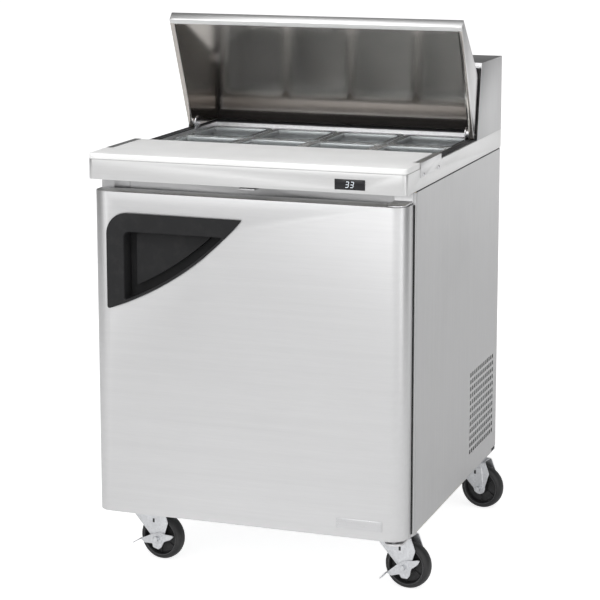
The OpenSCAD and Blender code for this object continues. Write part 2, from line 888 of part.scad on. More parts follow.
module compressor() {
    base = caster_h + sheet;
    color([0.08, 0.08, 0.08]) translate([comp_x, comp_y, base]) {
        for (x = [-70, 70]) {
            for (y = [-50, 50]) {
                translate([x, y, 0]) cylinder(r = 12, h = 12);
            }
        }
        block(-85, 85, -62, 62, 12, 15);
        translate([0, 0, 15]) rotate_extrude() polygon(concat(
            [[0, 0], [comp_r - 16, 0]],
            [for (a = [0 : 15 : 90]) [comp_r - 16 + 16 * sin(a), 16 - 16 * cos(a)]],
            [for (a = [0 : 10 : 90]) [comp_r * cos(a), 100 + 55 * sin(a)]]
        ));
        block(comp_r - 4, comp_r + 22, -20, 20, 50, 100);
    }
}

module condenser_coil() {
    shroud = 1.5;
    color([0.7, 0.72, 0.75]) {
        block(cond_x - cond_t, cond_x, cond_y - 95, cond_y + 95, cond_z - 100, cond_z + 100);
        for (i = [0 : 5]) {
            rod_y(cond_x - cond_t / 2, cond_y - 107, cond_y - 95, cond_z - 80 + i * 32, 5);
            rod_y(cond_x - cond_t / 2, cond_y + 95, cond_y + 107, cond_z - 80 + i * 32, 5);
        }
        difference() {
            block(cond_x - cond_t - 30, cond_x - cond_t, cond_y - 95, cond_y + 95, cond_z - 100, cond_z + 100);
            block(cond_x - cond_t - 30 + shroud, cond_x - cond_t + 1, cond_y - 93.5, cond_y + 93.5,
                cond_z - 98.5, cond_z + 98.5);
            rod_x(cond_x - cond_t - 40, cond_x - cond_t - 20, cond_y, cond_z, fan_r + 5);
        }
        for (y = [cond_y - 80, cond_y + 60]) {
            block(cond_x - cond_t, cond_x, y, y + 20, caster_h + sheet, cond_z - 100);
        }
    }
}

module condenser_fan_motor() {
    x1 = cond_x - cond_t - 36;
    color([0.3, 0.3, 0.32]) {
        rod_x(x1 - 46, x1, cond_y, cond_z, 32);
        rod_x(x1, x1 + 26, cond_y, cond_z, 3);
        block(x1 - 34, x1 - 14, cond_y - 10, cond_y + 10, caster_h + sheet, cond_z - 31);
    }
}

module condenser_fan() {
    color([0.75, 0.76, 0.78]) translate([cond_x - cond_t - 33, cond_y, cond_z]) rotate([0, 0, -90])
        propeller(fan_r, 22, 3 + pin_gap);
}

module refrigerant_lines() {
    r = 4;
    top = machine_top - 10;
    bottom = caster_h + 160;
    x1 = cond_x - cond_t / 2;
    y1 = cond_y + 101;
    color([0.72, 0.45, 0.3]) {
        // Discharge line from the compressor to the condenser
        translate([comp_x, comp_y - 50, bottom]) cylinder(r = r, h = top - bottom);
        translate([comp_x, comp_y - 50, top]) sphere(r = r);
        rod_x(comp_x, x1, comp_y - 50, top, r);
        translate([x1, comp_y - 50, top]) sphere(r = r);
        rod_y(x1, comp_y - 50, y1, top, r);
        translate([x1, y1, top]) sphere(r = r);
        translate([x1, y1, cond_z + 86]) cylinder(r = r, h = top - cond_z - 86);
        // Suction line towards the evaporator
        translate([comp_x - 45, comp_y + 20, bottom]) cylinder(r = r + 1, h = top - bottom + 9);
    }
}

module cord_gland() {
    color([0.05, 0.05, 0.06]) difference() {
        union() {
            rod_y(-270, cab_back, back_y, caster_h + 60, 14);
            rod_y(-270, cab_back - 14, cab_back, caster_h + 60, 8.9);
        }
        rod_y(-270, cab_back - 20, back_y + 1, caster_h + 60, 4.5);
    }
}

module screws() {
    color([0.75, 0.75, 0.77]) {
        for (s = [-1, 1]) {
            for (y = bracket_screws) {
                translate([s * (half_w + 1.5), y, top_h - 15]) rotate([0, s * 90, 0]) cylinder(r = 4.5, h = 1.8);
                translate([s * (half_w + 1.5), y, top_h - 15]) rotate([0, -s * 90, 0]) cylinder(r = 2, h = 10);
            }
        }
        // Hinge screws
        for (x = [hinge_x - 8, hinge_x + 12]) {
            rod_y(x, cab_front - 5.5, cab_front - 3, door_top + 13, 4);
        }
        // Caster bolts
        for (place = caster_places) {
            both_sides() {
                for (dx = [-38, 38]) {
                    for (dy = [-22, 22]) {
                        translate([place[0] + dx, place[1] + dy, caster_h - plate_t - 5]) cylinder(r = 6.5, h = 5, $fn = 6);
                    }
                }
            }
        }
    }
}

// ---- Casters ----

module caster_plates() {
    color([0.8, 0.81, 0.83]) for (place = caster_places) {
        both_sides() {
            translate([place[0], place[1], 0]) {
                block(-46, 46, -30, 30, caster_h - plate_t, caster_h);
                translate([0, 0, crown_z + 9]) cylinder(r = race_r, h = 19 - plate_t - 9);
                translate([0, 0, crown_z - 1]) cylinder(r = king_r, h = 10 + eps);
                translate([0, 0, crown_z - 3.5]) cylinder(r = 10, h = 3);
            }
        }
    }
}

// Puts a caster's own parts at its swivel: +x is the trailing direction
module caster_place(x, y, turn) {
    translate([x, y, 0]) rotate([0, 0, turn]) children();
}

module fork() {
    boss = 14;
    nut = 8;
    color([0.82, 0.83, 0.85]) {
        difference() {
            union() {
                translate([0, 0, crown_z]) cylinder(r = 32, h = 7);
                block(-22, trail + 18, -leg_y - leg_t, leg_y + leg_t, crown_z + 4.5, crown_z + 7);
            }
            translate([0, 0, crown_z - 1]) cylinder(r = king_r + pin_gap, h = 10);
        }
        for (s = [-1, 1]) {
            translate([0, s > 0 ? leg_y : -leg_y - leg_t, 0]) {
                rotate([90, 0, 0]) mirror([0, 0, 1]) linear_extrude(height = leg_t) polygon([
                    [-22, crown_z + 7], [trail + 18, crown_z + 7], [trail + 23, crown_z - 18],
                    [trail + boss, wheel_r], [trail - boss, wheel_r], [-22, crown_z - 12]
                ]);
                rod_y(trail, 0, leg_t, wheel_r, boss);
            }
        }
        rod_y(trail, -leg_y - leg_t - 10, leg_y + leg_t + 6, wheel_r, axle_r);
        translate([trail, -leg_y - leg_t - 10, wheel_r]) rotate([90, 0, 0]) cylinder(r = nut, h = 5, $fn = 6);
        translate([trail, leg_y + leg_t, wheel_r]) rotate([-90, 0, 0]) cylinder(r = nut, h = 6, $fn = 6);
    }
}

module wheel() {
    h = wheel_w / 2;
    hub = 15;
    rim = wheel_r - 13;
    color([0.08, 0.08, 0.09]) translate([trail, 0, wheel_r]) rotate([90, 0, 0]) rotate_extrude($fn = 96)
        polygon([
            [axle_r + pin_gap, -h - 1], [hub, -h - 1], [hub + 2, -5], [rim - 2, -4], [rim, -h + 1],
            [wheel_r - 4, -h], [wheel_r - 1, -h + 3], [wheel_r, -h + 7], [wheel_r, h - 7],
            [wheel_r - 1, h - 3], [wheel_r - 4, h], [rim, h - 1], [rim - 2, 4], [hub + 2, 5],
            [hub, h + 1], [axle_r + pin_gap, h + 1]
        ]);
}

// Side brake: a lever on the axle with a pedal on the left and a claw on the right
module brake(tilt) {
    y0 = -leg_y - leg_t - 1 - brake_t;
    color([0.84, 0.85, 0.86]) translate([trail, 0, wheel_r]) rotate([0, tilt, 0]) difference() {
        union() {
            rod_y(0, y0, y0 + brake_t, 0, 15);
            translate([0, y0 + brake_t, 0]) rotate([90, 0, 0]) linear_extrude(height = brake_t) polygon([
                [-46, -4], [-40, -12], [-8, -13], [10, -20], [15, -2], [38, 18], [30, 20], [6, 14], [-6, 14]
            ]);
            block(-56, -40, y0 - 14, y0 + brake_t, -12, -9);
        }
        rod_y(0, y0 - 20, y0 + 20, 0, axle_r + 0.08);
    }
}

module fork_front_left() {
    caster_place(-swivel_x, swivel_front, caster_yaw) fork();
}

module fork_front_right() {
    caster_place(swivel_x, swivel_front, caster_yaw) fork();
}

module fork_rear_left() {
    caster_place(-rear_swivel_x, swivel_rear, 180 + caster_yaw) fork();
}

module fork_rear_right() {
    caster_place(rear_swivel_x, swivel_rear, caster_yaw) fork();
}

module wheel_front_left() {
    caster_place(-swivel_x, swivel_front, caster_yaw) wheel();
}

module wheel_front_right() {
    caster_place(swivel_x, swivel_front, caster_yaw) wheel();
}

module wheel_rear_left() {
    caster_place(-rear_swivel_x, swivel_rear, 180 + caster_yaw) wheel();
}

module wheel_rear_right() {
    caster_place(rear_swivel_x, swivel_rear, caster_yaw) wheel();
}

module brake_left() {
    caster_place(-swivel_x, swivel_front, caster_yaw) brake(0);
}

module brake_right() {
    caster_place(swivel_x, swivel_front, caster_yaw) brake(-15);
}

side_panel_left();
side_panel_right();
back_panel();
base_pan();
front_frame();
insulation();
inner_liner();
counter_top();
well_liner();
breaker_strip();
pan_support_bars();
air_duct();
rear_housing();
rubber_trim();
board_brackets();
lid_pivot_brackets();
display_module();
door_hinge_plates();
shelf_pilasters();
evaporator_cover();
evaporator_coil();
evaporator_fan();
compressor();
condenser_coil();
condenser_fan_motor();
condenser_fan();
refrigerant_lines();
cord_gland();
screws();
caster_plates();
fork_front_left();
fork_front_right();
fork_rear_left();
fork_rear_right();
wheel_front_left();
wheel_front_right();
wheel_rear_left();
wheel_rear_right();
brake_left();
brake_right();
door_skin();
door_foam();
door_liner();
door_gasket();
door_handle();
door_badge();
lid_outer_skin();
lid_foam();
lid_inner_skin();
lid_edge_trim();
cutting_board();
shelf();
pan(0, 0);  // pan_1
pan(1, 0);  // pan_2
pan(2, 0);  // pan_3
pan(3, 0);  // pan_4
pan(0, 1);  // pan_5
pan(1, 1);  // pan_6
pan(2, 1);  // pan_7
pan(3, 1);  // pan_8
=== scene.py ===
# %% [markdown]
# # A sandwich prep table
# This lesson dresses a finished CAD model of a one-door refrigerated prep table.
# The CAD model fixes every size and every joint. Blender adds the looks: rounded sheet-metal edges,
# a moulded handle, real casters, clear food pans, and a finish for each material.
# First the frame is loaded. Everything below is in metres, with +Z up and the door facing -Y.

# %% Load the frame
import bmesh
import bpy
import json
import math
from mathutils import Matrix, Vector


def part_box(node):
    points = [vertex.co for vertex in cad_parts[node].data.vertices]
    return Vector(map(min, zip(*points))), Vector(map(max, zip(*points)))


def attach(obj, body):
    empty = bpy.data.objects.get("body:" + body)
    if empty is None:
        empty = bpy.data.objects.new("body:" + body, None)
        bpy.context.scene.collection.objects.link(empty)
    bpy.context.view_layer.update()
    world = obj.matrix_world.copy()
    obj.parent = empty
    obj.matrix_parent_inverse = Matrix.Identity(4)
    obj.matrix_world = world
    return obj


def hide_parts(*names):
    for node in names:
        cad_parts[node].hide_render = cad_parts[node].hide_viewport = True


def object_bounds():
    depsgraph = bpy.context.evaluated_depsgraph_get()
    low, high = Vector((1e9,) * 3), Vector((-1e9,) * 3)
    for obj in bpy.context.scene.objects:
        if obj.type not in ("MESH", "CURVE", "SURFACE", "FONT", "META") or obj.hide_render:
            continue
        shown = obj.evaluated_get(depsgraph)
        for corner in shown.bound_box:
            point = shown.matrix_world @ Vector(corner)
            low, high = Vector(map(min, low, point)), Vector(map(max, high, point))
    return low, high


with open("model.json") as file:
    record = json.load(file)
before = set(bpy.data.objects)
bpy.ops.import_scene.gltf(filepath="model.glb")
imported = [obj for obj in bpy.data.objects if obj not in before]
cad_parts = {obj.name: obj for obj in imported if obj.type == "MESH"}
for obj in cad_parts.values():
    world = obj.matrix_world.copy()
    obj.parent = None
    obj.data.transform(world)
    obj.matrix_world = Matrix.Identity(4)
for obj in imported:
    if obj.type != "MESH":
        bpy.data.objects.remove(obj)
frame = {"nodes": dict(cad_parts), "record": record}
record = frame["record"]
nodes = frame["nodes"]
cad_low, cad_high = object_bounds()
scene = bpy.context.scene
scene.view_settings.view_transform = "Standard"
joint_of = {joint["name"]: joint for joint in record["behaviour"]["joints"]}
slot_of = {part["node"]: part["material_slot"] for part in record["subparts"]}
print("nodes:", len(nodes), "box:", [round(v, 3) for v in (*cad_low, *cad_high)])

# %% [markdown]
# ## Camera
# A long lens from about four metres, a little to the right and above the counter, keeps the table's
# upright edges almost parallel. The camera is made first, so every later step can be judged through it.

# %% Camera
camera_turn = math.radians(19.45)
camera_tilt = math.radians(10.0)
camera_place = Vector((1.505, -4.242, 1.517))
focal_length = 123.0
sensor_width = 36.0
frame_rise = -0.1305
frame_side = -0.0133

camera_data = bpy.data.cameras.new("camera")
camera = bpy.data.objects.new("camera", camera_data)
scene.collection.objects.link(camera)
scene.camera = camera
camera.location = camera_place
camera.rotation_euler = (math.radians(90) - camera_tilt, 0, camera_turn)
camera_data.lens = focal_length
camera_data.sensor_width = sensor_width
camera_data.shift_x = frame_side
camera_data.shift_y = frame_rise
camera_data.clip_end = 100
print("camera at", tuple(round(v, 3) for v in camera_place))

# %% [markdown]
# ## Studio
# Stainless steel shows its surroundings more than its own colour, so the studio is part of the finish.
# The sky is bright in front and above, and darker at the sides and behind. The front of the table then
# looks light and its side looks grey. A tall strip light on the right draws the bright line that runs
# down every rounded edge. The floor is a plain pale sheet.

# %% Sky
def link(tree, source, target):
    tree.links.new(source, target)


world = bpy.data.worlds.new("studio")
scene.world = world
world.use_nodes = True
sky = world.node_tree
sky.nodes.clear()
direction = sky.nodes.new("ShaderNodeTexCoord")
toward_front = sky.nodes.new("ShaderNodeVectorMath")
toward_front.operation = "DOT_PRODUCT"
toward_front.inputs[1].default_value = (0.30, -0.86, 0.42)
sky_ramp = sky.nodes.new("ShaderNodeMapRange")
sky_ramp.interpolation_type = "SMOOTHSTEP"
sky_ramp.inputs["From Min"].default_value = 0.22
sky_ramp.inputs["From Max"].default_value = 0.66
sky_ramp.inputs["To Min"].default_value = 0.17
sky_ramp.inputs["To Max"].default_value = 1.30
sky_light = sky.nodes.new("ShaderNodeBackground")
sky_seen = sky.nodes.new("ShaderNodeBackground")
sky_seen.inputs["Color"].default_value = (1, 1, 1, 1)
sky_seen.inputs["Strength"].default_value = 1.0
ray_kind = sky.nodes.new("ShaderNodeLightPath")
sky_mix = sky.nodes.new("ShaderNodeMixShader")
sky_out = sky.nodes.new("ShaderNodeOutputWorld")
link(sky, direction.outputs["Generated"], toward_front.inputs[0])
link(sky, toward_front.outputs["Value"], sky_ramp.inputs["Value"])
link(sky, sky_ramp.outputs["Result"], sky_light.inputs["Strength"])
link(sky, ray_kind.outputs["Is Camera Ray"], sky_mix.inputs["Fac"])
link(sky, sky_light.outputs["Background"], sky_mix.inputs[1])
link(sky, sky_seen.outputs["Background"], sky_mix.inputs[2])
link(sky, sky_mix.outputs["Shader"], sky_out.inputs["Surface"])
print("sky made")

# %% Lights
def softbox(name, place, aim, width, height, watts):
    data = bpy.data.lights.new(name, "AREA")
    data.shape = "RECTANGLE"
    data.size = width
    data.size_y = height
    data.energy = watts
    lamp = bpy.data.objects.new(name, data)
    scene.collection.objects.link(lamp)
    lamp.location = place
    lamp.rotation_mode = "QUATERNION"
    lamp.rotation_quaternion = (Vector(aim) - Vector(place)).to_track_quat("-Z", "Y")
    return lamp


table_middle = (cad_low + cad_high) / 2
softbox("overhead_softbox", (-0.8, -1.6, 3.6), table_middle, 3.0, 2.4, 62)
softbox("front_softbox", (-0.9, -4.6, 2.4), table_middle, 2.4, 2.4, 12)
softbox("strip_light", (3.1, -1.35, 1.2), (0.35, -0.3, 0.7), 0.30, 2.6, 5.5)
softbox("side_card", (1.7, 4.4, 0.9), (0.35, 0.0, 0.8), 3.4, 2.4, 10)
print("lights:", len(bpy.data.lights))

# %% Floor
floor_size = 60.0
floor_mesh = bpy.data.meshes.new("studio_floor")
floor_bm = bmesh.new()
bmesh.ops.create_grid(floor_bm, x_segments=1, y_segments=1, size=floor_size / 2)
floor_bm.to_mesh(floor_mesh)
floor_bm.free()
floor = bpy.data.objects.new("studio_floor", floor_mesh)
scene.collection.objects.link(floor)
floor_finish = bpy.data.materials.new("studio_floor")
floor_finish.use_nodes = True
floor_shader = floor_finish.node_tree.nodes["Principled BSDF"]
floor_shader.inputs["Base Color"].default_value = (0.62, 0.62, 0.62, 1)
floor_shader.inputs["Roughness"].default_value = 0.9
floor_shader.inputs["Specular IOR Level"].default_value = 0.1
floor_shader.inputs["Emission Strength"].default_value = 1.0
floor_rays = floor_finish.node_tree.nodes.new("ShaderNodeLightPath")
floor_glow = floor_finish.node_tree.nodes.new("ShaderNodeMix")
floor_glow.data_type = "RGBA"
floor_glow.inputs["A"].default_value = (0.29, 0.29, 0.29, 1)
floor_glow.inputs["B"].default_value = (0.80, 0.80, 0.80, 1)
link(floor_finish.node_tree, floor_rays.outputs["Is Camera Ray"], floor_glow.inputs["Factor"])
link(floor_finish.node_tree, floor_glow.outputs["Result"], floor_shader.inputs["Emission Color"])
floor_mesh.materials.append(floor_finish)
print("floor side:", floor_size)

# %% [markdown]
# ## Shared effects
# Brushed grain, smudges, moulded skin and zinc mottle appear in many finishes. Each is built once as a
# node group that gives out only numbers, and every material places it with its own settings. The
# patterns read Object coordinates, which are metres here because every object sits at the origin.

# %% Node group helper
def new_group(name, inputs, outputs):
    group = bpy.data.node_groups.new(name, "ShaderNodeTree")
    for title, kind, value in inputs:
        socket = group.interface.new_socket(title, in_out="INPUT", socket_type=kind)
        if value is not None:
            socket.default_value = value
    for title in outputs:
        group.interface.new_socket(title, in_out="OUTPUT", socket_type="NodeSocketFloat")
    start = group.nodes.new("NodeGroupInput")
    end = group.nodes.new("NodeGroupOutput")
    return group, start, end


def noise(tree, vector, scale, detail=4.0, roughness=0.55):
    node = tree.nodes.new("ShaderNodeTexNoise")
    node.inputs["Scale"].default_value = scale
    node.inputs["Detail"].default_value = detail
    node.inputs["Roughness"].default_value = roughness
    link(tree, vector, node.inputs["Vector"])
    return node.outputs["Fac"]


def spread(tree, value, low, high, new_low, new_high):
    node = tree.nodes.new("ShaderNodeMapRange")
    node.inputs["From Min"].default_value = low
    node.inputs["From Max"].default_value = high
    node.inputs["To Min"].default_value = new_low
    node.inputs["To Max"].default_value = new_high
    link(tree, value, node.inputs["Value"])
    return node.outputs["Result"]


def combine(tree, kind, first, second):
    node = tree.nodes.new("ShaderNodeMath")
    node.operation = kind
    for socket, item in zip(node.inputs, (first, second)):
        if isinstance(item, (int, float)):
            socket.default_value = item
        else:
            link(tree, item, socket)
    return node.outputs[0]


print("group helpers ready")

# %% Brushed grain
# A sanding belt leaves long scratches: fine ones give the sheen, wide ones give faint bands.
def build_brushed_grain():
    group, start, end = new_group(
        "brushed_grain",
        [("Vector", "NodeSocketVector", None), ("Stretch", "NodeSocketVector", (1.0, 1.0, 1.0))],
        ["Height", "Band", "Smudge"],
    )
    stretched = group.nodes.new("ShaderNodeVectorMath")
    stretched.operation = "MULTIPLY"
    link(group, start.outputs["Vector"], stretched.inputs[0])
    link(group, start.outputs["Stretch"], stretched.inputs[1])
    fine = noise(group, stretched.outputs["Vector"], 9.0, 5.0, 0.7)
    band = noise(group, stretched.outputs["Vector"], 1.2, 3.0, 0.5)
    smudge = noise(group, start.outputs["Vector"], 4.0, 3.0, 0.6)
    link(group, fine, end.inputs["Height"])
    link(group, band, end.inputs["Band"])
    link(group, spread(group, smudge, 0.45, 0.75, 0.0, 1.0), end.inputs["Smudge"])
    return group


# Moulded plastic and rubber have a fine leathery skin and pick up a little dust.
def build_moulded_skin():
    group, start, end = new_group(
        "moulded_skin",
        [("Vector", "NodeSocketVector", None), ("Grain Size", "NodeSocketFloat", 900.0)],
        ["Height", "Dust", "Tone"],
    )
    pebble = group.nodes.new("ShaderNodeTexVoronoi")
    link(group, start.outputs["Vector"], pebble.inputs["Vector"])
    link(group, start.outputs["Grain Size"], pebble.inputs["Scale"])
    dust = noise(group, start.outputs["Vector"], 38.0, 6.0, 0.7)
    tone = noise(group, start.outputs["Vector"], 7.0, 2.0, 0.5)
    link(group, pebble.outputs["Distance"], end.inputs["Height"])
    link(group, spread(group, dust, 0.50, 0.80, 0.0, 1.0), end.inputs["Dust"])
    link(group, tone, end.inputs["Tone"])
    return group


# Zinc plate and galvanised sheet carry small crystals, each a slightly different grey.
def build_zinc_mottle():
    group, start, end = new_group(
        "zinc_mottle",
        [("Vector", "NodeSocketVector", None), ("Crystal Size", "NodeSocketFloat", 120.0)],
        ["Crystal", "Height", "Stain"],
    )
    crystal = group.nodes.new("ShaderNodeTexVoronoi")
    link(group, start.outputs["Vector"], crystal.inputs["Vector"])
    link(group, start.outputs["Crystal Size"], crystal.inputs["Scale"])
    tone = group.nodes.new("ShaderNodeSeparateColor")
    link(group, crystal.outputs["Color"], tone.inputs["Color"])
    stain = noise(group, start.outputs["Vector"], 22.0, 5.0, 0.65)
    height = noise(group, start.outputs["Vector"], 260.0, 3.0, 0.6)
    link(group, tone.outputs["Red"], end.inputs["Crystal"])
    link(group, height, end.inputs["Height"])
    link(group, spread(group, stain, 0.48, 0.78, 0.0, 1.0), end.inputs["Stain"])
    return group


brushed_grain = build_brushed_grain()
moulded_skin = build_moulded_skin()
zinc_mottle = build_zinc_mottle()
print("groups:", [group.name for group in bpy.data.node_groups])

# %% [markdown]
# ## Finishes
# A finish starts from a Principled shader. Base colour, roughness and bump come from the groups above,
# so no surface is one flat colour. Numbers that are the same all over are set on the shader itself.

# %% Finish helpers
finishes = {}


def start_finish(name):
    finish = bpy.data.materials.new(name)
    finishes[name] = finish
    finish.use_nodes = True
    tree = finish.node_tree
    shader = tree.nodes["Principled BSDF"]
    place = tree.nodes.new("ShaderNodeTexCoord")
    return finish, tree, shader, place.outputs["Object"]


def place_group(tree, group, vector, **settings):
    node = tree.nodes.new("ShaderNodeGroup")
    node.node_tree = group
    link(tree, vector, node.inputs["Vector"])
    for title, value in settings.items():
        node.inputs[title.replace("_", " ")].default_value = value
    return node


def shade(colour, factor):
    return (min(1, colour[0] * factor), min(1, colour[1] * factor), min(1, colour[2] * factor), 1)


def mix_colour(tree, mask, first, second):
    node = tree.nodes.new("ShaderNodeMix")
    node.data_type = "RGBA"
    for socket, item in ((node.inputs["A"], first), (node.inputs["B"], second)):
        if isinstance(item, tuple):
            socket.default_value = item
        else:
            link(tree, item, socket)
    link(tree, mask, node.inputs["Factor"])
    return node.outputs["Result"]


def bump(tree, shader, height, distance, strength=1.0):
    node = tree.nodes.new("ShaderNodeBump")
    node.inputs["Strength"].default_value = strength
    node.inputs["Distance"].default_value = distance
    link(tree, height, node.inputs["Height"])
    link(tree, node.outputs["Normal"], shader.inputs["Normal"])


print("finish helpers ready")

# %% Brushed steel
# The stretch is large across the grain and small along it, so the noise becomes long scratches.
grain_along_x = (2.0, 90.0, 90.0)
grain_along_y = (90.0, 2.0, 90.0)
grain_along_z = (90.0, 90.0, 2.0)


def brushed_steel(name, colour, low_roughness, high_roughness, stretch, depth=0.00002):
    finish, tree, shader, place = start_finish(name)
    grain = place_group(tree, brushed_grain, place, Stretch=stretch)
    banded = mix_colour(tree, grain.outputs["Band"], shade(colour, 0.95), shade(colour, 1.04))
    lines = spread(tree, grain.outputs["Height"], 0.3, 0.7, 0.0, 1.0)
    lined = mix_colour(tree, combine(tree, "MULTIPLY", lines, 0.35), banded, shade(colour, 0.90))
    tinted = mix_colour(tree, combine(tree, "MULTIPLY", grain.outputs["Smudge"], 0.10), lined,
        shade(colour, 0.86))
    link(tree, tinted, shader.inputs["Base Color"])
    shader.inputs["Metallic"].default_value = 1.0
    smooth = spread(tree, grain.outputs["Height"], 0.25, 0.75, low_roughness, high_roughness)
    worn = combine(tree, "ADD", smooth, combine(tree, "MULTIPLY", grain.outputs["Smudge"], 0.05))
    link(tree, worn, shader.inputs["Roughness"])
    bump(tree, shader, grain.outputs["Height"], depth)
    return finish


print("steel recipe ready")

# %% Plastic, rubber and paint
def moulded(name, colour, dust_colour, roughness, grain_size, depth, dust_share=0.10, gloss=0.5):
    finish, tree, shader, place = start_finish(name)
    skin = place_group(tree, moulded_skin, place, Grain_Size=grain_size)
    toned = mix_colour(tree, skin.outputs["Tone"], shade(colour, 0.85), shade(colour, 1.18))
    dusty = mix_colour(tree, combine(tree, "MULTIPLY", skin.outputs["Dust"], dust_share), toned,
        shade(dust_colour, 1.0))
    link(tree, dusty, shader.inputs["Base Color"])
    shader.inputs["Specular IOR Level"].default_value = gloss
    rough = spread(tree, skin.outputs["Dust"], 0.0, 1.0, roughness, min(1.0, roughness + 0.15))
    link(tree, rough, shader.inputs["Roughness"])
    bump(tree, shader, skin.outputs["Height"], depth)
    return finish


def plated(name, colour, roughness, crystal_size, contrast, metallic=1.0, depth=0.00002):
    finish, tree, shader, place = start_finish(name)
    plate = place_group(tree, zinc_mottle, place, Crystal_Size=crystal_size)
    toned = mix_colour(tree, plate.outputs["Crystal"], shade(colour, 1.0 - contrast),
        shade(colour, 1.0 + contrast))
    stained = mix_colour(tree, combine(tree, "MULTIPLY", plate.outputs["Stain"], 0.18), toned,
        shade(colour, 0.70))
    link(tree, stained, shader.inputs["Base Color"])
    shader.inputs["Metallic"].default_value = metallic
    rough = spread(tree, plate.outputs["Crystal"], 0.0, 1.0, roughness, roughness + 0.10)
    link(tree, rough, shader.inputs["Roughness"])
    bump(tree, shader, plate.outputs["Height"], depth)
    return finish


print("plastic and plated recipes ready")

# %% All metal finishes
brushed_steel("door_steel", (0.74, 0.74, 0.745), 0.36, 0.46, grain_along_x)
# front_steel is the door's stainless steel made darker: painted shade on the cabinet front that uses it.
brushed_steel("front_steel", (0.60, 0.60, 0.605), 0.34, 0.44, grain_along_x)
brushed_steel("counter_steel", (0.80, 0.80, 0.80), 0.30, 0.40, grain_along_x)
brushed_steel("lid_steel", (0.78, 0.78, 0.78), 0.26, 0.36, grain_along_x)
# side_steel is the same stainless steel made darker: painted shade on the side turned away from the light.
brushed_steel("side_steel", (0.62, 0.62, 0.625), 0.34, 0.44, grain_along_z)
brushed_steel("bar_steel", (0.74, 0.74, 0.74), 0.28, 0.38, grain_along_y)
brushed_steel("bracket_steel", (0.76, 0.76, 0.765), 0.26, 0.36, grain_along_y)
# lid_lip is the lid's steel made darker: painted shade on the front face of the lip.
brushed_steel("lid_lip", (0.50, 0.50, 0.50), 0.30, 0.40, grain_along_x)
brushed_steel("badge_metal", (0.70, 0.70, 0.71), 0.22, 0.34, grain_along_x)
# lid_mirror's dark warm grey is a painted reflection of the food and the dark well in the polished steel.
brushed_steel("lid_mirror", (0.56, 0.53, 0.50), 0.13, 0.19, grain_along_x, 0.000004)
plated("galvanised_steel", (0.62, 0.63, 0.64), 0.42, 70.0, 0.12)
plated("zinc", (0.72, 0.73, 0.75), 0.34, 260.0, 0.08)
plated("bright_metal", (0.80, 0.80, 0.82), 0.16, 400.0, 0.04)
plated("liner_aluminium", (0.84, 0.84, 0.85), 0.34, 180.0, 0.05, 1.0, 0.0004)
plated("fan_aluminium", (0.74, 0.75, 0.77), 0.30, 300.0, 0.05)
plated("copper", (0.80, 0.46, 0.30), 0.24, 150.0, 0.10)
plated("white_enamel", (0.84, 0.84, 0.82), 0.32, 600.0, 0.02, 0.0)
plated("black_enamel", (0.03, 0.03, 0.032), 0.30, 500.0, 0.20, 0.0)
plated("coated_wire", (0.80, 0.80, 0.78), 0.30, 500.0, 0.02, 0.0)
print("metal finishes:", len(finishes))

# %% All plastic and rubber finishes
dust_grey = (0.36, 0.35, 0.34)
moulded("handle_plastic", (0.022, 0.022, 0.023), dust_grey, 0.50, 1400.0, 0.00006, 0.03, 0.15)
moulded("black_plastic", (0.022, 0.022, 0.024), dust_grey, 0.40, 1200.0, 0.00006, 0.05)
moulded("fan_plastic", (0.03, 0.03, 0.032), dust_grey, 0.42, 1200.0, 0.00005, 0.10)
moulded("display_black", (0.008, 0.008, 0.010), dust_grey, 0.06, 500.0, 0.000004, 0.01)
moulded("black_rubber", (0.020, 0.020, 0.021), dust_grey, 0.62, 900.0, 0.00010, 0.08, 0.3)
moulded("wheel_rubber", (0.016, 0.016, 0.017), dust_grey, 0.46, 900.0, 0.00010, 0.08)
# wheel_trim_and_painted_highlight's grey paints the highlight on the ring near the wheel's rim; the hub caps
# take the same grey as trim.
moulded("wheel_trim_and_painted_highlight", (0.075, 0.075, 0.078), dust_grey, 0.40, 900.0, 0.00005, 0.08)
moulded("foam", (0.86, 0.74, 0.46), (0.70, 0.55, 0.30), 0.80, 500.0, 0.0006, 0.40, 0.2)
moulded("board_plastic", (0.93, 0.93, 0.92), (0.80, 0.80, 0.78), 0.42, 1000.0, 0.00008, 0.04, 0.4)
print("finishes:", len(finishes))

# %% Clear pans
# Polycarbonate is clear with a slight grey cast. Fine scratches and old dishwasher haze make it readable.
def clear_plastic(name):
    finish, tree, shader, place = start_finish(name)
    haze = place_group(tree, moulded_skin, place, Grain_Size=700.0)
    tint = mix_colour(tree, haze.outputs["Dust"], (0.93, 0.955, 0.965, 1), (0.84, 0.87, 0.88, 1))
    link(tree, tint, shader.inputs["Base Color"])
    shader.inputs["Transmission Weight"].default_value = 0.92
    shader.inputs["IOR"].default_value = 1.30
    link(tree, spread(tree, haze.outputs["Dust"], 0.0, 1.0, 0.05, 0.22), shader.inputs["Roughness"])
    bump(tree, shader, haze.outputs["Height"], 0.00002)
    return finish


clear_plastic("clear_pan")
print("clear pan made")

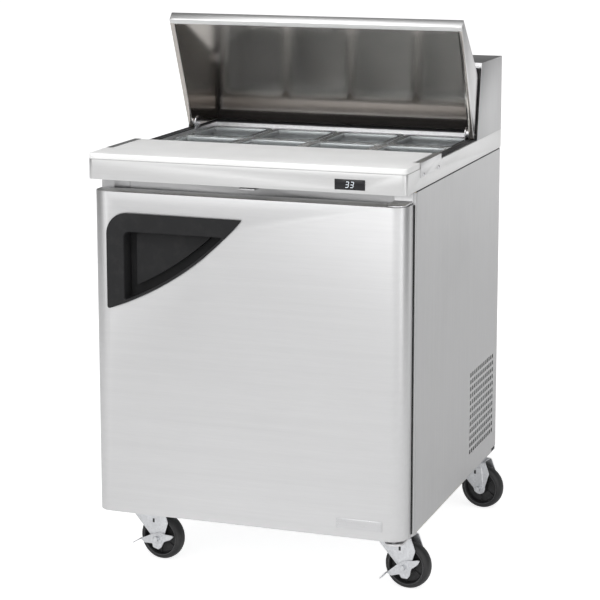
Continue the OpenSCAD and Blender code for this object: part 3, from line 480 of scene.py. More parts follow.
# %% Fins
# A coil's fins are thin plates packed about two millimetres apart; a wave across the coil draws them, and its
# dark half is painted shade in the gaps between the fins.
def finned(name, colour):
    finish, tree, shader, place = start_finish(name)
    stripes = tree.nodes.new("ShaderNodeTexWave")
    stripes.bands_direction = "DIAGONAL"
    stripes.inputs["Scale"].default_value = 160.0
    stripes.inputs["Distortion"].default_value = 0.4
    link(tree, place, stripes.inputs["Vector"])
    dirt = place_group(tree, moulded_skin, place, Grain_Size=300.0)
    # Painted shade: the dark stripes stand for the shaded gaps between the fins.
    fins_and_painted_gap_shade = mix_colour(tree, stripes.outputs["Fac"], shade(colour, 0.35), shade(colour, 1.05))
    dusted = combine(tree, "MULTIPLY", dirt.outputs["Dust"], 0.3)
    dirty = mix_colour(tree, dusted, fins_and_painted_gap_shade, shade(dust_grey, 0.8))
    link(tree, dirty, shader.inputs["Base Color"])
    shader.inputs["Metallic"].default_value = 0.9
    link(tree, spread(tree, dirt.outputs["Dust"], 0.0, 1.0, 0.35, 0.7), shader.inputs["Roughness"])
    bump(tree, shader, stripes.outputs["Fac"], 0.001)
    return finish


finned("fin_aluminium", (0.72, 0.74, 0.77))
for node_name, node in nodes.items():
    node.data.materials.clear()
    node.data.materials.append(finishes[slot_of[node_name]])
print("finished CAD nodes:", len(nodes))

# %% [markdown]
# ## Making pieces
# Each new piece starts as a bmesh. One helper turns it into an object: doubles are merged, normals are
# pointed outwards, smooth shading is split at sharp edges, and the piece is tied to its CAD body.

# %% Piece helper
body_of_node = {}
for body_name, members in record["behaviour"]["bodies"].items():
    for member in members:
        body_of_node[member] = body_name


def finish_piece(bm, name, body, slot, stands_for=(), sharp_angle=32):
    bmesh.ops.remove_doubles(bm, verts=bm.verts, dist=0.00001)
    bmesh.ops.recalc_face_normals(bm, faces=bm.faces)
    mesh = bpy.data.meshes.new(name)
    bm.to_mesh(mesh)
    bm.free()
    mesh.shade_smooth()
    mesh.set_sharp_from_angle(angle=math.radians(sharp_angle))
    piece = bpy.data.objects.new(name, mesh)
    scene.collection.objects.link(piece)
    mesh.materials.append(finishes[slot])
    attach(piece, body)
    if stands_for:
        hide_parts(*stands_for)
    return piece


def box_piece(bm, low, high):
    low = Vector(low)
    high = Vector(high)
    size = high - low
    made = bmesh.ops.create_cube(bm, size=1.0)["verts"]
    bmesh.ops.scale(bm, vec=size, verts=made)
    bmesh.ops.translate(bm, vec=(low + high) / 2, verts=made)
    return made


def edges_of(verts):
    return list({edge for vert in verts for edge in vert.link_edges})


def round_edges(bm, edges, width, segments=3):
    return bmesh.ops.bevel(bm, geom=edges, offset=width, offset_type="OFFSET", segments=segments,
        profile=0.5, affect="EDGES", clamp_overlap=True, material=-1)


print("piece helpers ready")

# %% [markdown]
# ## Folded sheet metal
# A press brake never leaves a razor edge. Each panel below is a merged copy of its CAD solid whose sharp
# edges get a small bevel. The light then catches every fold, which is what makes sheet steel look real.

# %% Softened panels
def softened(node_name, width, segments=2, smallest_turn=40):
    bm = bmesh.new()
    bm.from_mesh(nodes[node_name].data)
    bmesh.ops.remove_doubles(bm, verts=bm.verts, dist=0.00002)
    bmesh.ops.dissolve_limit(bm, angle_limit=math.radians(1), verts=bm.verts, edges=bm.edges)
    limit = math.radians(smallest_turn)
    sharp = [edge for edge in bm.edges if len(edge.link_faces) == 2 and edge.calc_face_angle(0) > limit]
    round_edges(bm, sharp, width, segments)
    return bm


softened_widths = {
    "front_frame": 0.0005,
    "rear_housing": 0.0005,
    "board_brackets": 0.0006,
    "door_hinge_plates": 0.0009,
    "lid_outer_skin": 0.0005,
    "breaker_strip": 0.0006,
    "pan_support_bars": 0.0012,
    "air_duct": 0.0004,
    "caster_plates": 0.0008,
    "lid_pivot_brackets": 0.0008,
    "evaporator_cover": 0.0005,
    "cord_gland": 0.001,
    "door_badge": 0.0005,
}
for node_name, width in softened_widths.items():
    finish_piece(softened(node_name, width), "soft_" + node_name, body_of_node[node_name],
        slot_of[node_name], [node_name])
print("softened panels:", len(softened_widths))

# %% [markdown]
# ## Lid rim and lip
# The rim that closes the lid's double wall is polished along the sides and takes the mirror steel there,
# whose dark warm grey is a painted reflection of the food and the dark well, so it reads as one with the
# dark inside. Three cuts across the rim give its sides their own faces, and those faces take the second
# material. The front of the lip gets a darker steel than the slope above it, painted shade so it doesn't
# wash out.

# %% Lid rim and lip
trim_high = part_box("lid_edge_trim")[1]
rim_bm = softened("lid_edge_trim", 0.0004, 2, 40)
rim_thickness = 0.0104
lip_rim_height = 0.0105
lip_height = 0.030
side_start = trim_high.x - rim_thickness
lip_start = trim_high.z - lip_rim_height
cuts = [((side_start, 0, 0), (1, 0, 0)), ((-side_start, 0, 0), (1, 0, 0)), ((0, 0, lip_start), (0, 0, 1))]
for cut_place, cut_normal in cuts:
    geom = rim_bm.verts[:] + rim_bm.edges[:] + rim_bm.faces[:]
    bmesh.ops.bisect_plane(rim_bm, geom=geom, plane_co=cut_place, plane_no=cut_normal)
lid_rim = finish_piece(rim_bm, "lid_rim", "lid", "lid_steel", ["lid_edge_trim"])
# The rim's sides take the mirror steel and its painted reflection.
lid_rim.data.materials.append(finishes["lid_mirror"])
for face in lid_rim.data.polygons:
    beside = abs(face.center.x) > side_start and face.center.z < lip_start
    face.material_index = 1 if beside and abs(face.normal.x) < 0.3 else 0
lid_shell = bpy.data.objects["soft_lid_outer_skin"]
# The lip's front faces take lid_lip, a darker copy of the lid's steel painted as shade.
lid_shell.data.materials.append(finishes["lid_lip"])
shell_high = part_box("lid_outer_skin")[1]
for face in lid_shell.data.polygons:
    painted_shade_lip = face.center.z > shell_high.z - lip_height and face.normal.y < -0.5
    face.material_index = 1 if painted_shade_lip else 0
print("rim faces beside:", sum(face.material_index for face in lid_rim.data.polygons))
print("lip faces:", sum(face.material_index for face in lid_shell.data.polygons))

# %% [markdown]
# ## Counter top
# The counter is one sheet folded down on four sides, with radiused front corners. Its upper edge is
# rolled, so it gets a wider bevel than the panels below it, and the band keeps a small lower hem.

# %% Counter top
counter_bm = softened("counter_top", 0.0022, 3, 60)
counter_piece = finish_piece(counter_bm, "counter_sheet", "cabinet", "counter_steel", ["counter_top"])
print("counter faces:", len(counter_piece.data.polygons))

# %% [markdown]
# ## Cutting board
# A polyethylene board is sawn from thick sheet and its edges are routed round. The two steps in its
# sides let it sit between the brackets. A copy of the CAD outline with a broad bevel gives that edge.

# %% Cutting board
board_edge = 0.0024
board_bm = softened("cutting_board", board_edge, 4, 50)
board_piece = finish_piece(board_bm, "board_routed", "board", "board_plastic", ["cutting_board"], 50)
print("board faces:", len(board_piece.data.polygons))

# %% [markdown]
# ## Door skin
# The door's front sheet wraps round both sides in a wide curve. Only its top and bottom hems and the
# rim of the handle opening need a bevel, so the limit angle leaves the curves alone.

# %% Door skin
door_bm = softened("door_skin", 0.0008, 2, 60)
door_piece = finish_piece(door_bm, "door_sheet", "door", "door_steel", ["door_skin"], 30)
print("door faces:", len(door_piece.data.polygons))

# %% [markdown]
# ## Door handle
# The handle is a black moulding set into the door's top corner: a flat rim, wide at the left and top,
# round a pocket for the fingers. One long arc closes both. Each outline starts as a few vertices: the
# arc is spun, the corners are bevelled, and loops are bridged by filling or extruding. The pocket's
# floor has a raised middle with a deep groove along the left wall and along the arc.

# %% Handle sizes
handle_low, handle_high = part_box("door_handle")
door_low, door_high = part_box("door_skin")
rim_front = handle_low.y
handle_left = handle_low.x
handle_right = handle_high.x
handle_top = handle_high.z
drawn_height = 0.211
handle_foot = handle_top - drawn_height
sweep_radius = 0.700
rim_width = 0.040
sweep_rim = 0.0055
groove_width = 0.020
pocket_depth = 0.036
plateau_depth = 0.020
sweep_chord = math.hypot(handle_right - handle_left - 0.008, drawn_height - 0.010)
sweep_turn = math.atan2(drawn_height - 0.010, handle_right - handle_left - 0.008)
sweep_dip = math.sqrt(sweep_radius ** 2 - sweep_chord ** 2 / 4)
sweep_middle = Vector(((handle_left + handle_right + 0.008) / 2, 0, (handle_top + handle_foot) / 2 + 0.001))
sweep_centre = sweep_middle + sweep_dip * Vector((-math.sin(sweep_turn), 0, math.cos(sweep_turn)))
print("handle:", [round(v, 3) for v in (handle_left, handle_right, handle_foot, handle_top)])

# %% Handle outline
def sweep_angle(radius, left=None, top=None):
    # Angle round the sweep's centre at which the arc meets a left or a top line
    if left is not None:
        return math.asin((left - sweep_centre.x) / radius)
    return math.acos((sweep_centre.z - top) / radius)


def handle_loop(bm, inset_left, inset_top, inset_sweep, corner, small_corner, depth):
    left = handle_left + inset_left
    top = handle_top - inset_top
    radius = sweep_radius - inset_sweep
    before = set(bm.edges)
    first = sweep_angle(radius, top=top)
    last = sweep_angle(radius, left=left)
    arm = Vector((math.sin(first), 0, -math.cos(first))) * radius
    centre = Vector((sweep_centre.x, depth, sweep_centre.z))
    tip = bm.verts.new(centre + arm)
    spun = bmesh.ops.spin(bm, geom=[tip], cent=centre, axis=(0, 1, 0), angle=first - last, steps=40)
    end = [item for item in spun["geom_last"] if isinstance(item, bmesh.types.BMVert)][0]
    corner_vert = bm.verts.new((left, depth, top))
    bm.edges.new((end, corner_vert))
    bm.edges.new((corner_vert, tip))
    bmesh.ops.bevel(bm, geom=[corner_vert], offset=corner, offset_type="OFFSET", segments=10, profile=0.5,
        affect="VERTICES", material=-1)
    bmesh.ops.bevel(bm, geom=[tip, end], offset=small_corner, offset_type="OFFSET", segments=4, profile=0.5,
        affect="VERTICES", material=-1)
    return [edge for edge in bm.edges if edge not in before]


def sunk_copy(bm, loop, move):
    grown = bmesh.ops.extrude_edge_only(bm, edges=loop)["geom"]
    verts = [item for item in grown if isinstance(item, bmesh.types.BMVert)]
    bmesh.ops.translate(bm, vec=(0, move, 0), verts=verts)
    moved = set(verts)
    return [item for item in grown if isinstance(item, bmesh.types.BMEdge) and set(item.verts) <= moved]


print("sweep centre:", [round(v, 3) for v in sweep_centre])

# %% Handle body
# From outside to inside: outer wall, flat rim, pocket wall, groove floor, plateau wall, plateau.
handle_bm = bmesh.new()
rim_back = door_low.y + 0.0005
floor_y = door_low.y + pocket_depth
outer_back = handle_loop(handle_bm, 0, 0, 0, 0.046, 0.0065, rim_back)
outer_front = sunk_copy(handle_bm, outer_back, rim_front - rim_back)
mouth = handle_loop(handle_bm, rim_width, rim_width, sweep_rim, 0.012, 0.005, rim_front)
bmesh.ops.triangle_fill(handle_bm, use_beauty=True, use_dissolve=False, edges=outer_front + mouth)
groove_outside = sunk_copy(handle_bm, mouth, floor_y - rim_front)
plateau_foot = handle_loop(handle_bm, rim_width + groove_width, rim_width + 0.003, sweep_rim + groove_width,
    0.010, 0.004, floor_y)
bmesh.ops.triangle_fill(handle_bm, use_beauty=True, use_dissolve=False, edges=groove_outside + plateau_foot)
plateau_top = sunk_copy(handle_bm, plateau_foot, plateau_depth - pocket_depth)
bmesh.ops.triangle_fill(handle_bm, use_beauty=True, use_dissolve=False, edges=plateau_top)
round_edges(handle_bm, plateau_top, 0.0080, 6)
print("handle faces:", len(handle_bm.faces))

# %% Handle edges
def turned(edge):
    return len(edge.link_faces) == 2 and edge.calc_face_angle(0) > math.radians(60)


rim_edges = [edge for edge in handle_bm.edges if turned(edge)
    and all(abs(vert.co.y - rim_front) < 0.00001 for vert in edge.verts)]
inner_rim = [edge for edge in rim_edges if edge in set(mouth)]
outer_rim = [edge for edge in rim_edges if edge not in set(mouth)]
round_edges(handle_bm, inner_rim, 0.0034, 3)
outer_rim = [edge for edge in outer_rim if edge.is_valid]
round_edges(handle_bm, outer_rim, 0.0016, 3)
handle_piece = finish_piece(handle_bm, "handle_moulding", "door", "handle_plastic", ["door_handle"], 38)
print("handle faces:", len(handle_piece.data.polygons))

# %% [markdown]
# ## Temperature display
# The display is a glossy black window with two slanted digits. Each digit is built from bars, as a
# segment display is, and the bars sit just in front of the window and glow.

# %% Display finish
def glowing(name, colour, strength):
    finish, tree, shader, place = start_finish(name)
    glow = place_group(tree, moulded_skin, place, Grain_Size=900.0)
    lit = mix_colour(tree, glow.outputs["Tone"], shade(colour, 0.92), shade(colour, 1.0))
    link(tree, lit, shader.inputs["Base Color"])
    link(tree, lit, shader.inputs["Emission Color"])
    shader.inputs["Emission Strength"].default_value = strength
    link(tree, spread(tree, glow.outputs["Dust"], 0.0, 1.0, 0.3, 0.5), shader.inputs["Roughness"])
    return finish


glowing("digit_glow", (0.80, 0.86, 0.92), 0.55)
display_bm = softened("display_module", 0.0003, 2, 60)
finish_piece(display_bm, "display_window", "cabinet", "display_black", ["display_module"])
print("display window made")

# %% Digits
display_low, display_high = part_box("display_module")
digit_height = 0.0115
digit_width = 0.0062
bar_width = 0.0010
digit_slant = 0.18
digit_front = display_low.y - 0.0002
digit_middle = (display_low + display_high) / 2
digits_bm = bmesh.new()
for digit_x in (-0.0052, 0.0052):
    for level in (-0.5, 0.0, 0.5):
        z = digit_middle.z + level * digit_height
        x = digit_middle.x + digit_x + digit_slant * (z - digit_middle.z)
        box_piece(digits_bm, (x - digit_width / 2, digit_front, z - bar_width / 2),
            (x + digit_width / 2 - bar_width, digit_front + 0.0003, z + bar_width / 2))
    for level in (-0.25, 0.25):
        z = digit_middle.z + level * digit_height
        bar_half = digit_height / 4 - bar_width * 0.6
        made = box_piece(digits_bm, (digit_width / 2 - bar_width, digit_front, -bar_half),
            (digit_width / 2, digit_front + 0.0003, bar_half))
        for vert in made:
            vert.co.x += digit_slant * vert.co.z
        bmesh.ops.translate(digits_bm, verts=made,
            vec=(digit_middle.x + digit_x + digit_slant * (z - digit_middle.z), 0, z))
digits = finish_piece(digits_bm, "display_digits", "cabinet", "display_black")
digits.data.materials[0] = finishes["digit_glow"]
print("digit bars:", 10)

# %% [markdown]
# ## Food pans
# A polycarbonate pan is a tapered tub with rounded corners under a flat rim whose edge turns down.
# A cube is scaled to the rim, its upright edges are bevelled, its lid is removed, and the sides are
# tapered towards the bottom. Solidify gives the wall, and one pan is copied to the eight places.

# %% One pan
pan_low, pan_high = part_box("pan_1")
pan_width = pan_high.x - pan_low.x
pan_length = pan_high.y - pan_low.y
pan_depth = pan_high.z - pan_low.z
pan_rim = 0.012
pan_taper = 0.009
pan_wall = 0.0024
pan_radius = 0.020


def pan_bmesh():
    bm = bmesh.new()
    tub = box_piece(bm, (-pan_width / 2 + pan_rim, -pan_length / 2 + pan_rim, -pan_depth + 0.0004),
        (pan_width / 2 - pan_rim, pan_length / 2 - pan_rim, -0.0004))
    for vert in tub:
        if vert.co.z < -pan_depth / 2:
            vert.co.x -= math.copysign(pan_taper, vert.co.x)
            vert.co.y -= math.copysign(pan_taper, vert.co.y)
    top = [face for face in bm.faces if face.normal.z > 0.5]
    bmesh.ops.delete(bm, geom=top, context="FACES_ONLY")
    upright = [edge for edge in bm.edges if abs(edge.verts[0].co.z - edge.verts[1].co.z) > pan_depth / 2]
    round_edges(bm, upright, pan_radius, 6)
    base = [edge for edge in bm.edges if all(vert.co.z < -pan_depth + 0.002 for vert in edge.verts)
        and len(edge.link_faces) == 2 and edge.calc_face_angle(0) > 0.5]
    round_edges(bm, base, 0.010, 4)
    mouth = [edge for edge in bm.edges if edge.is_boundary]
    lip = bmesh.ops.extrude_edge_only(bm, edges=mouth)["geom"]
    lip_verts = [item for item in lip if isinstance(item, bmesh.types.BMVert)]
    wide = (pan_width / 2 - 0.001) / (pan_width / 2 - pan_rim)
    long = (pan_length / 2 - 0.001) / (pan_length / 2 - pan_rim)
    bmesh.ops.scale(bm, vec=(wide, long, 1), verts=lip_verts)
    edge_ring = [edge for edge in bm.edges if edge.is_boundary]
    hem = bmesh.ops.extrude_edge_only(bm, edges=edge_ring)["geom"]
    hem_verts = [item for item in hem if isinstance(item, bmesh.types.BMVert)]
    bmesh.ops.translate(bm, vec=(0, 0, -0.0022), verts=hem_verts)
    bmesh.ops.recalc_face_normals(bm, faces=bm.faces)
    return bm


for number in range(1, 9):
    low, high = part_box("pan_%d" % number)
    bm = pan_bmesh()
    bmesh.ops.translate(bm, verts=bm.verts, vec=((low.x + high.x) / 2, (low.y + high.y) / 2, high.z))
    pan = finish_piece(bm, "clear_pan_%d" % number, "tray_%d" % number, "clear_pan", ["pan_%d" % number], 50)
    wall = pan.modifiers.new("wall", "SOLIDIFY")
    wall.thickness = pan_wall
    wall.offset = -1.0
print("pans:", 8, "size:", [round(v, 3) for v in (pan_width, pan_length, pan_depth)])

# %% [markdown]
# ## Casters
# A swivel caster has a mounting plate, a ball race, a pressed fork and a rubber wheel on a plated axle.
# The front pair also has a claw-shaped side brake. Every caster is built once round its own axle, with
# the trailing direction along +X, and then turned and moved to the axle that the joint states.

# %% Caster places
caster_names = ["front_left", "front_right", "rear_left", "rear_right"]
wheel_low, wheel_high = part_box("wheel_front_left")
wheel_radius = (wheel_high.z - wheel_low.z) / 2


def caster_matrix(name):
    spin_joint = joint_of["spin_" + name]
    axle = Vector(spin_joint["axis"]).normalized()
    turn = math.atan2(-axle.x, axle.y)
    return Matrix.Translation(Vector(spin_joint["pos_m"])) @ Matrix.Rotation(turn, 4, "Z")


swivel_place = Vector(joint_of["swivel_front_left"]["pos_m"])
axle_place = Vector(joint_of["spin_front_left"]["pos_m"])
caster_trail = (axle_place - swivel_place).to_2d().length
print("wheel radius:", round(wheel_radius, 4), "trail:", round(caster_trail, 4))

# %% Wheel
# The half section is drawn as a chain of vertices and spun once round the axle.
hub_radius = 0.015
web_outer = 0.036
rim_inner = 0.0385
axle_bore = 0.0061


def chain(bm, points):
    verts = [bm.verts.new(point) for point in points]
    for first, second in zip(verts, verts[1:]):
        bm.edges.new((first, second))
    return verts


def spun_round_axle(bm, profile, steps):
    verts = chain(bm, [(0, y, r) for r, y in profile])
    edges = list({edge for vert in verts for edge in vert.link_edges})
    bmesh.ops.spin(bm, geom=verts + edges, cent=(0, 0, 0), axis=(0, 1, 0), angle=2 * math.pi, steps=steps,
        use_merge=True)


def wheel_bmesh():
    bm = bmesh.new()
    half = [(axle_bore, 0.0168), (hub_radius - 0.001, 0.0168), (hub_radius, 0.0158),
        (hub_radius + 0.0015, 0.006), (web_outer, 0.0055), (rim_inner - 0.0006, 0.0135),
        (rim_inner + 0.0006, 0.0148), (wheel_radius - 0.0075, 0.0154), (wheel_radius - 0.0045, 0.0140),
        (wheel_radius - 0.0022, 0.0112), (wheel_radius - 0.0006, 0.0070), (wheel_radius, 0.0025)]
    profile = half + [(r, -y) for r, y in reversed(half)]
    spun_round_axle(bm, profile + [profile[0]], 72)
    return bm


def wheel_ribs(bm, count=6):
    for number in range(count):
        turn = Matrix.Rotation(2 * math.pi * number / count, 4, "Y")
        for side in (-1, 1):
            rib = box_piece(bm, (-0.0011, min(side * 0.004, side * 0.0082), hub_radius),
                (0.0011, max(side * 0.004, side * 0.0082), rim_inner))
            bmesh.ops.transform(bm, matrix=turn, verts=rib)


for name in caster_names:
    bm = wheel_bmesh()
    wheel_ribs(bm)
    bmesh.ops.transform(bm, matrix=caster_matrix(name), verts=bm.verts)
    finish_piece(bm, "wheel_moulded_" + name, "roller_" + name, "wheel_rubber", ["wheel_" + name], 30)
    # The grey ring near the rim is a painted highlight; the caps beside the hub share its grey trim finish.
    band = bmesh.new()
    for side in (-1, 1):
        highlight_ring = [(rim_inner + 0.0008, side * 0.0146), (rim_inner + 0.0015, side * 0.0154),
            (rim_inner + 0.0024, side * 0.0150)]
        spun_round_axle(band, highlight_ring + [highlight_ring[0]], 64)
        cap = [(0.0078, side * 0.0166), (0.0082, side * 0.0176), (0.0115, side * 0.0176),
            (0.0122, side * 0.0166)]
        spun_round_axle(band, cap + [cap[0]], 48)
    bmesh.ops.transform(band, matrix=caster_matrix(name), verts=band.verts)
    wheel_trim_and_painted_highlight = finish_piece(band, "wheel_trim_and_painted_highlight_" + name, "roller_" + name, "wheel_rubber", (), 30)
    wheel_trim_and_painted_highlight.data.materials[0] = finishes["wheel_trim_and_painted_highlight"]
print("wheels:", len(caster_names))

# %% Fork
# The fork is pressed from one plate. It starts as a box with no ends and no bottom. Planes trim its
# legs to a broad wedge, the shoulders are bevelled, and Solidify gives the plate. Each leg has a
# raised middle panel with a slot, and ends in a round eye for the axle.
crown_top = 0.118 - wheel_radius
leg_outer = 0.0205
plate_thickness = 0.0026


def trim(bm, place, outward):
    geom = list(bm.verts) + list(bm.edges) + list(bm.faces)
    bmesh.ops.bisect_plane(bm, geom=geom, plane_co=place, plane_no=outward, clear_outer=True)


def fork_bmesh():
    bm = bmesh.new()
    box_piece(bm, (-0.068, -leg_outer, -0.004), (0.024, leg_outer, crown_top))
    ends = [face for face in bm.faces if abs(face.normal.x) > 0.5 or face.normal.z < -0.5]
    bmesh.ops.delete(bm, geom=ends, context="FACES_ONLY")
    shoulder = [edge for edge in bm.edges if len(edge.link_faces) == 2]
    round_edges(bm, shoulder, 0.007, 5)
    trim(bm, (-0.0125, 0, -0.004), (-0.72, 0, -0.69))
    trim(bm, (-0.064, 0, crown_top - 0.010), (-0.96, 0, 0.28))
    trim(bm, (0.0135, 0, 0.002), (0.955, 0, -0.295))
    trim(bm, (0.022, 0, crown_top - 0.024), (0.93, 0, 0.36))
    bmesh.ops.recalc_face_normals(bm, faces=bm.faces)
    return bm


def pressed_panel(bm, side):
    outline = [(-0.040, 0.052), (0.006, 0.052), (0.0115, 0.004), (-0.0100, 0.002)]
    plane_y = side * (leg_outer - 0.0004)
    face = bm.faces.new([bm.verts.new((x, plane_y, z)) for x, z in outline])
    bmesh.ops.bevel(bm, geom=list(face.verts), offset=0.0030, offset_type="OFFSET", segments=3, profile=0.5,
        affect="VERTICES", material=-1)
    face = [item for item in bm.faces if all(abs(vert.co.y - plane_y) < 0.00001 for vert in item.verts)]
    raised = bmesh.ops.extrude_face_region(bm, geom=face)["geom"]
    raised = [item for item in raised if isinstance(item, bmesh.types.BMVert)]
    bmesh.ops.translate(bm, vec=(0, side * 0.0016, 0), verts=raised)
    middle = Vector((-0.008, 0, 0.026))
    bmesh.ops.translate(bm, vec=-middle, verts=raised)
    bmesh.ops.scale(bm, vec=(0.90, 1, 0.95), verts=raised)
    bmesh.ops.translate(bm, vec=middle, verts=raised)


def boss_disc(bm, place_y, radius, thickness, segments=36):
    made = bmesh.ops.create_cone(bm, cap_ends=True, segments=segments, radius1=radius, radius2=radius,
        depth=thickness, matrix=Matrix.Rotation(math.pi / 2, 4, "X"))["verts"]
    bmesh.ops.translate(bm, vec=(0, place_y, 0), verts=made)
    rims = [edge for edge in edges_of(made) if edge.calc_face_angle(0) > 1.0]
    round_edges(bm, rims, min(0.0008, thickness / 3), 2)
    return made


print("fork helpers ready")

# %% Forks and axles
for name in caster_names:
    plate = fork_bmesh()
    bmesh.ops.transform(plate, matrix=caster_matrix(name), verts=plate.verts)
    leg_piece = finish_piece(plate, "fork_plate_" + name, "caster_" + name, "zinc", ["fork_" + name], 30)
    skin = leg_piece.modifiers.new("plate", "SOLIDIFY")
    skin.thickness = plate_thickness
    skin.offset = -1.0
    fold = leg_piece.modifiers.new("fold", "BEVEL")
    fold.width = 0.0006
    fold.segments = 2
    fold.limit_method = "ANGLE"
    fold.angle_limit = math.radians(50)
    panels = bmesh.new()
    for side in (-1, 1):
        pressed_panel(panels, side)
    bmesh.ops.transform(panels, matrix=caster_matrix(name), verts=panels.verts)
    finish_piece(panels, "fork_panel_" + name, "caster_" + name, "zinc", (), 20)
    slots = bmesh.new()
    for side in (-1, 1):
        slot_y = side * (leg_outer + 0.0012)
        slot = box_piece(slots, (-0.0135, slot_y - 0.0003, 0.034), (-0.0085, slot_y + 0.0003, 0.043))
        round_edges(slots, [edge for edge in edges_of(slot)], 0.0002, 1)
    bmesh.ops.transform(slots, matrix=caster_matrix(name), verts=slots.verts)
    finish_piece(slots, "fork_slot_" + name, "caster_" + name, "wheel_rubber", (), 30)
    axle = bmesh.new()
    for side in (-1, 1):
        boss_disc(axle, side * (leg_outer - 0.0012), 0.0145, 0.0026, 48)
        boss_disc(axle, side * (leg_outer + 0.0006), 0.0118, 0.0024)
        boss_disc(axle, side * (leg_outer + 0.0026), 0.0088, 0.0030)
    boss_disc(axle, 0.0, 0.0058, 2 * leg_outer + 0.024, 24)
    boss_disc(axle, -(leg_outer + 0.0130), 0.0072, 0.0050, 6)
    boss_disc(axle, leg_outer + 0.0060, 0.0072, 0.0060, 6)
    race_place = Matrix.Translation((-caster_trail, 0, crown_top - 0.0032))
    race = bmesh.ops.create_cone(axle, cap_ends=True, segments=56, radius1=0.0320, radius2=0.0300,
        depth=0.0070, matrix=race_place)["verts"]
    round_edges(axle, [edge for edge in edges_of(race) if edge.calc_face_angle(0) > 1.0], 0.0014, 3)
    bmesh.ops.transform(axle, matrix=caster_matrix(name), verts=axle.verts)
    finish_piece(axle, "axle_set_" + name, "caster_" + name, "zinc", (), 30)
print("forks:", len(caster_names))

# %% Brake levers
# The lever is a pressed claw: a boss on the axle, an arm with a folded foot pedal, a hooked arm on the
# other side and a blunt foot below.
def lever_bmesh():
    bm = bmesh.new()
    outline = [(-0.0444, -0.0073), (-0.0346, -0.0151), (-0.0141, -0.0138), (-0.0121, -0.0221),
        (0.0014, -0.0257), (0.0091, -0.0200), (0.0159, -0.0063), (0.0323, 0.0007), (0.0407, 0.0088),
        (0.0371, 0.0108), (0.0174, 0.0109), (0.0039, 0.0145), (-0.0158, 0.0068)]
    face = bm.faces.new([bm.verts.new((x, 0, z)) for x, z in outline])
    bmesh.ops.bevel(bm, geom=list(bm.verts), offset=0.0018, offset_type="OFFSET", segments=3, profile=0.5,
        affect="VERTICES", material=-1)
    raised = bmesh.ops.extrude_face_region(bm, geom=list(bm.faces))["geom"]
    raised_verts = [item for item in raised if isinstance(item, bmesh.types.BMVert)]
    bmesh.ops.translate(bm, vec=(0, 0.0025, 0), verts=raised_verts)
    pedal = box_piece(bm, (-0.0105, -0.0125, -0.0012), (0.0085, 0.0025, 0.0012))
    pedal_place = Matrix.Translation((-0.0485, 0, -0.0100)) @ Matrix.Rotation(math.radians(-32), 4, "Y")
    bmesh.ops.transform(bm, matrix=pedal_place, verts=pedal)
    round_edges(bm, [edge for edge in edges_of(pedal)], 0.0009, 2)
    return bm


brake_tilt = {"left": 0.0, "right": math.radians(-15)}
for side, tilt in brake_tilt.items():
    bm = lever_bmesh()
    bmesh.ops.recalc_face_normals(bm, faces=bm.faces)
    lever_front = -(leg_outer + 0.0035)
    bmesh.ops.translate(bm, vec=(0, lever_front, 0), verts=bm.verts)
    boss_disc(bm, lever_front + 0.0005, 0.0125, 0.0038)
    bmesh.ops.transform(bm, matrix=Matrix.Rotation(tilt, 4, "Y"), verts=bm.verts)
    bmesh.ops.transform(bm, matrix=caster_matrix("front_" + side), verts=bm.verts)
    finish_piece(bm, "brake_claw_" + side, "lever_" + side, "zinc", ["brake_" + side], 30)
print("brakes:", len(brake_tilt))

# %% [markdown]
# ## Screws and bolts
# Screws are repeated many times, so each one is light: a domed head with a cross recess, or a hex head
# on a washer. A small helper places a head on a point, facing along a direction.

# %% Screw heads
def facing(place, outward):
    return Matrix.Translation(Vector(place)) @ Vector(outward).to_track_quat("Z", "Y").to_matrix().to_4x4()


def cross_head(bm, place, outward, radius=0.0044, rise=0.0020):
    made = bmesh.ops.create_uvsphere(bm, u_segments=20, v_segments=10, radius=radius,
        matrix=Matrix.Diagonal((1, 1, rise / radius, 1)))["verts"]
    low = [vert for vert in made if vert.co.z < -0.00001]
    for vert in low:
        vert.co.z = 0
    for turn in (0, math.pi / 2):
        slot = box_piece(bm, (-radius * 0.55, -radius * 0.11, rise * 0.80),
            (radius * 0.55, radius * 0.11, rise * 1.04))
        bmesh.ops.transform(bm, matrix=Matrix.Rotation(turn + 0.4, 4, "Z"), verts=slot)
        made = made + slot
    bmesh.ops.transform(bm, matrix=facing(place, outward), verts=made)


def hex_head(bm, place, outward, radius=0.0065, rise=0.0045):
    made = bmesh.ops.create_cone(bm, cap_ends=True, segments=24, radius1=radius * 1.35, radius2=radius * 1.35,
        depth=0.0010, matrix=Matrix.Translation((0, 0, 0.0005)))["verts"]
    head = bmesh.ops.create_cone(bm, cap_ends=True, segments=6, radius1=radius, radius2=radius * 0.96,
        depth=rise - 0.0010, matrix=Matrix.Translation((0, 0, (rise + 0.0010) / 2)))["verts"]
    bmesh.ops.transform(bm, matrix=facing(place, outward), verts=made + head)


bracket_low, bracket_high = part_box("board_brackets")
counter_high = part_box("counter_top")[1]
hinge_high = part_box("door_hinge_plates")[1]
plates_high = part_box("caster_plates")[1]
screws_bm = bmesh.new()
screw_rows = (bracket_low.y + 0.022, bracket_high.y - 0.019)
for side in (-1, 1):
    for y in screw_rows:
        screw_place = (side * bracket_high.x, y, counter_high.z - 0.015)
        cross_head(screws_bm, screw_place, (side, 0, 0), 0.0045, 0.0018)
hinge_joint = Vector(joint_of["door_hinge"]["pos_m"])
for x in (hinge_joint.x - 0.008, hinge_joint.x + 0.012):
    cross_head(screws_bm, (x, hinge_high.y - 0.0042, door_high.z + 0.013), (0, -1, 0), 0.0040, 0.0016)
for name in caster_names:
    post = Vector(joint_of["swivel_" + name]["pos_m"])
    for dx in (-0.038, 0.038):
        for dy in (-0.022, 0.022):
            hex_head(screws_bm, (post.x + dx, post.y + dy, plates_high.z - 0.003), (0, 0, -1), 0.0062, 0.0048)
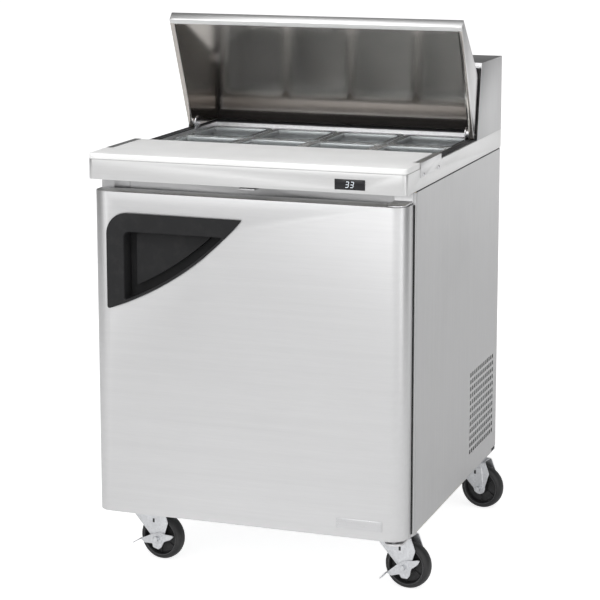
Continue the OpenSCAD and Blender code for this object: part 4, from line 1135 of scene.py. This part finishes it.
finish_piece(screws_bm, "screw_heads", "cabinet", "bright_metal", ["screws"], 35)
print("screw heads made")

# %% [markdown]
# ## Door seal strip and painted gap shade
# A black strip on the cabinet's front face meets the back of the door all the way round. It draws the dark
# line
# between the door and the cabinet: partly the gasket's own black, partly painted shade in the gap. It is
# flat, so the door can swing past it.

# %% Seal strip and painted gap shade
gasket_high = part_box("door_gasket")[1]
seal_back = gasket_high.y + 0.0003
seal_front = seal_back - 0.0060
seal_out = door_high.x + 0.0018
seal_and_gap_shade_bm = bmesh.new()
for side in (-1, 1):
    low_x = min(side * seal_out, side * (gasket_high.x + 0.0006))
    high_x = max(side * seal_out, side * (gasket_high.x + 0.0006))
    strip = box_piece(seal_and_gap_shade_bm, (low_x, seal_front, door_low.z + 0.002),
        (high_x, seal_back, door_high.z - 0.002))
    round_edges(seal_and_gap_shade_bm, edges_of(strip), 0.0012, 3)
# Black rubber here is partly the gasket's colour and partly painted shade in the gap.
finish_piece(seal_and_gap_shade_bm, "seal_and_gap_shade_strip", "cabinet", "black_rubber", (), 40)
print("seal strip from", round(seal_front, 4), "to", round(seal_back, 4))

# %% [markdown]
# ## Back louvres
# The machine compartment breathes through the back. Each slot has a pressed hood over it. A hood is a
# half of a flattened ball, cut by a plane and sunk into the sheet.

# %% Louvre hoods
back_low, back_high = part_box("back_panel")
slot_left = (-0.220, -0.060, 0.100)
slot_length = 0.120
slot_pitch = 0.022
first_slot = back_low.z + 0.050
hoods_bm = bmesh.new()
for x in slot_left:
    for row in range(9):
        z = first_slot + row * slot_pitch + 0.008
        made = bmesh.ops.create_cone(hoods_bm, cap_ends=True, segments=16, radius1=0.0050, radius2=0.0050,
            depth=slot_length + 0.004, matrix=Matrix.Rotation(math.pi / 2, 4, "Y"))["verts"]
        bmesh.ops.scale(hoods_bm, vec=(1, 1, 1.9), verts=made)
        bmesh.ops.translate(hoods_bm, vec=(x + slot_length / 2, back_high.y - 0.0006, z), verts=made)
        geom = [item for vert in made for item in (vert, *vert.link_edges, *vert.link_faces)]
        geom = list(dict.fromkeys(geom))
        bmesh.ops.bisect_plane(hoods_bm, geom=geom, plane_co=(0, 0, z - 0.001), plane_no=(0, 0, -1),
            clear_outer=True)
hoods = finish_piece(hoods_bm, "louvre_hoods", "cabinet", "galvanised_steel", (), 35)
hood_sheet = hoods.modifiers.new("sheet", "SOLIDIFY")
hood_sheet.thickness = 0.0008
hood_sheet.offset = -1.0
print("hoods:", len(slot_left) * 9)
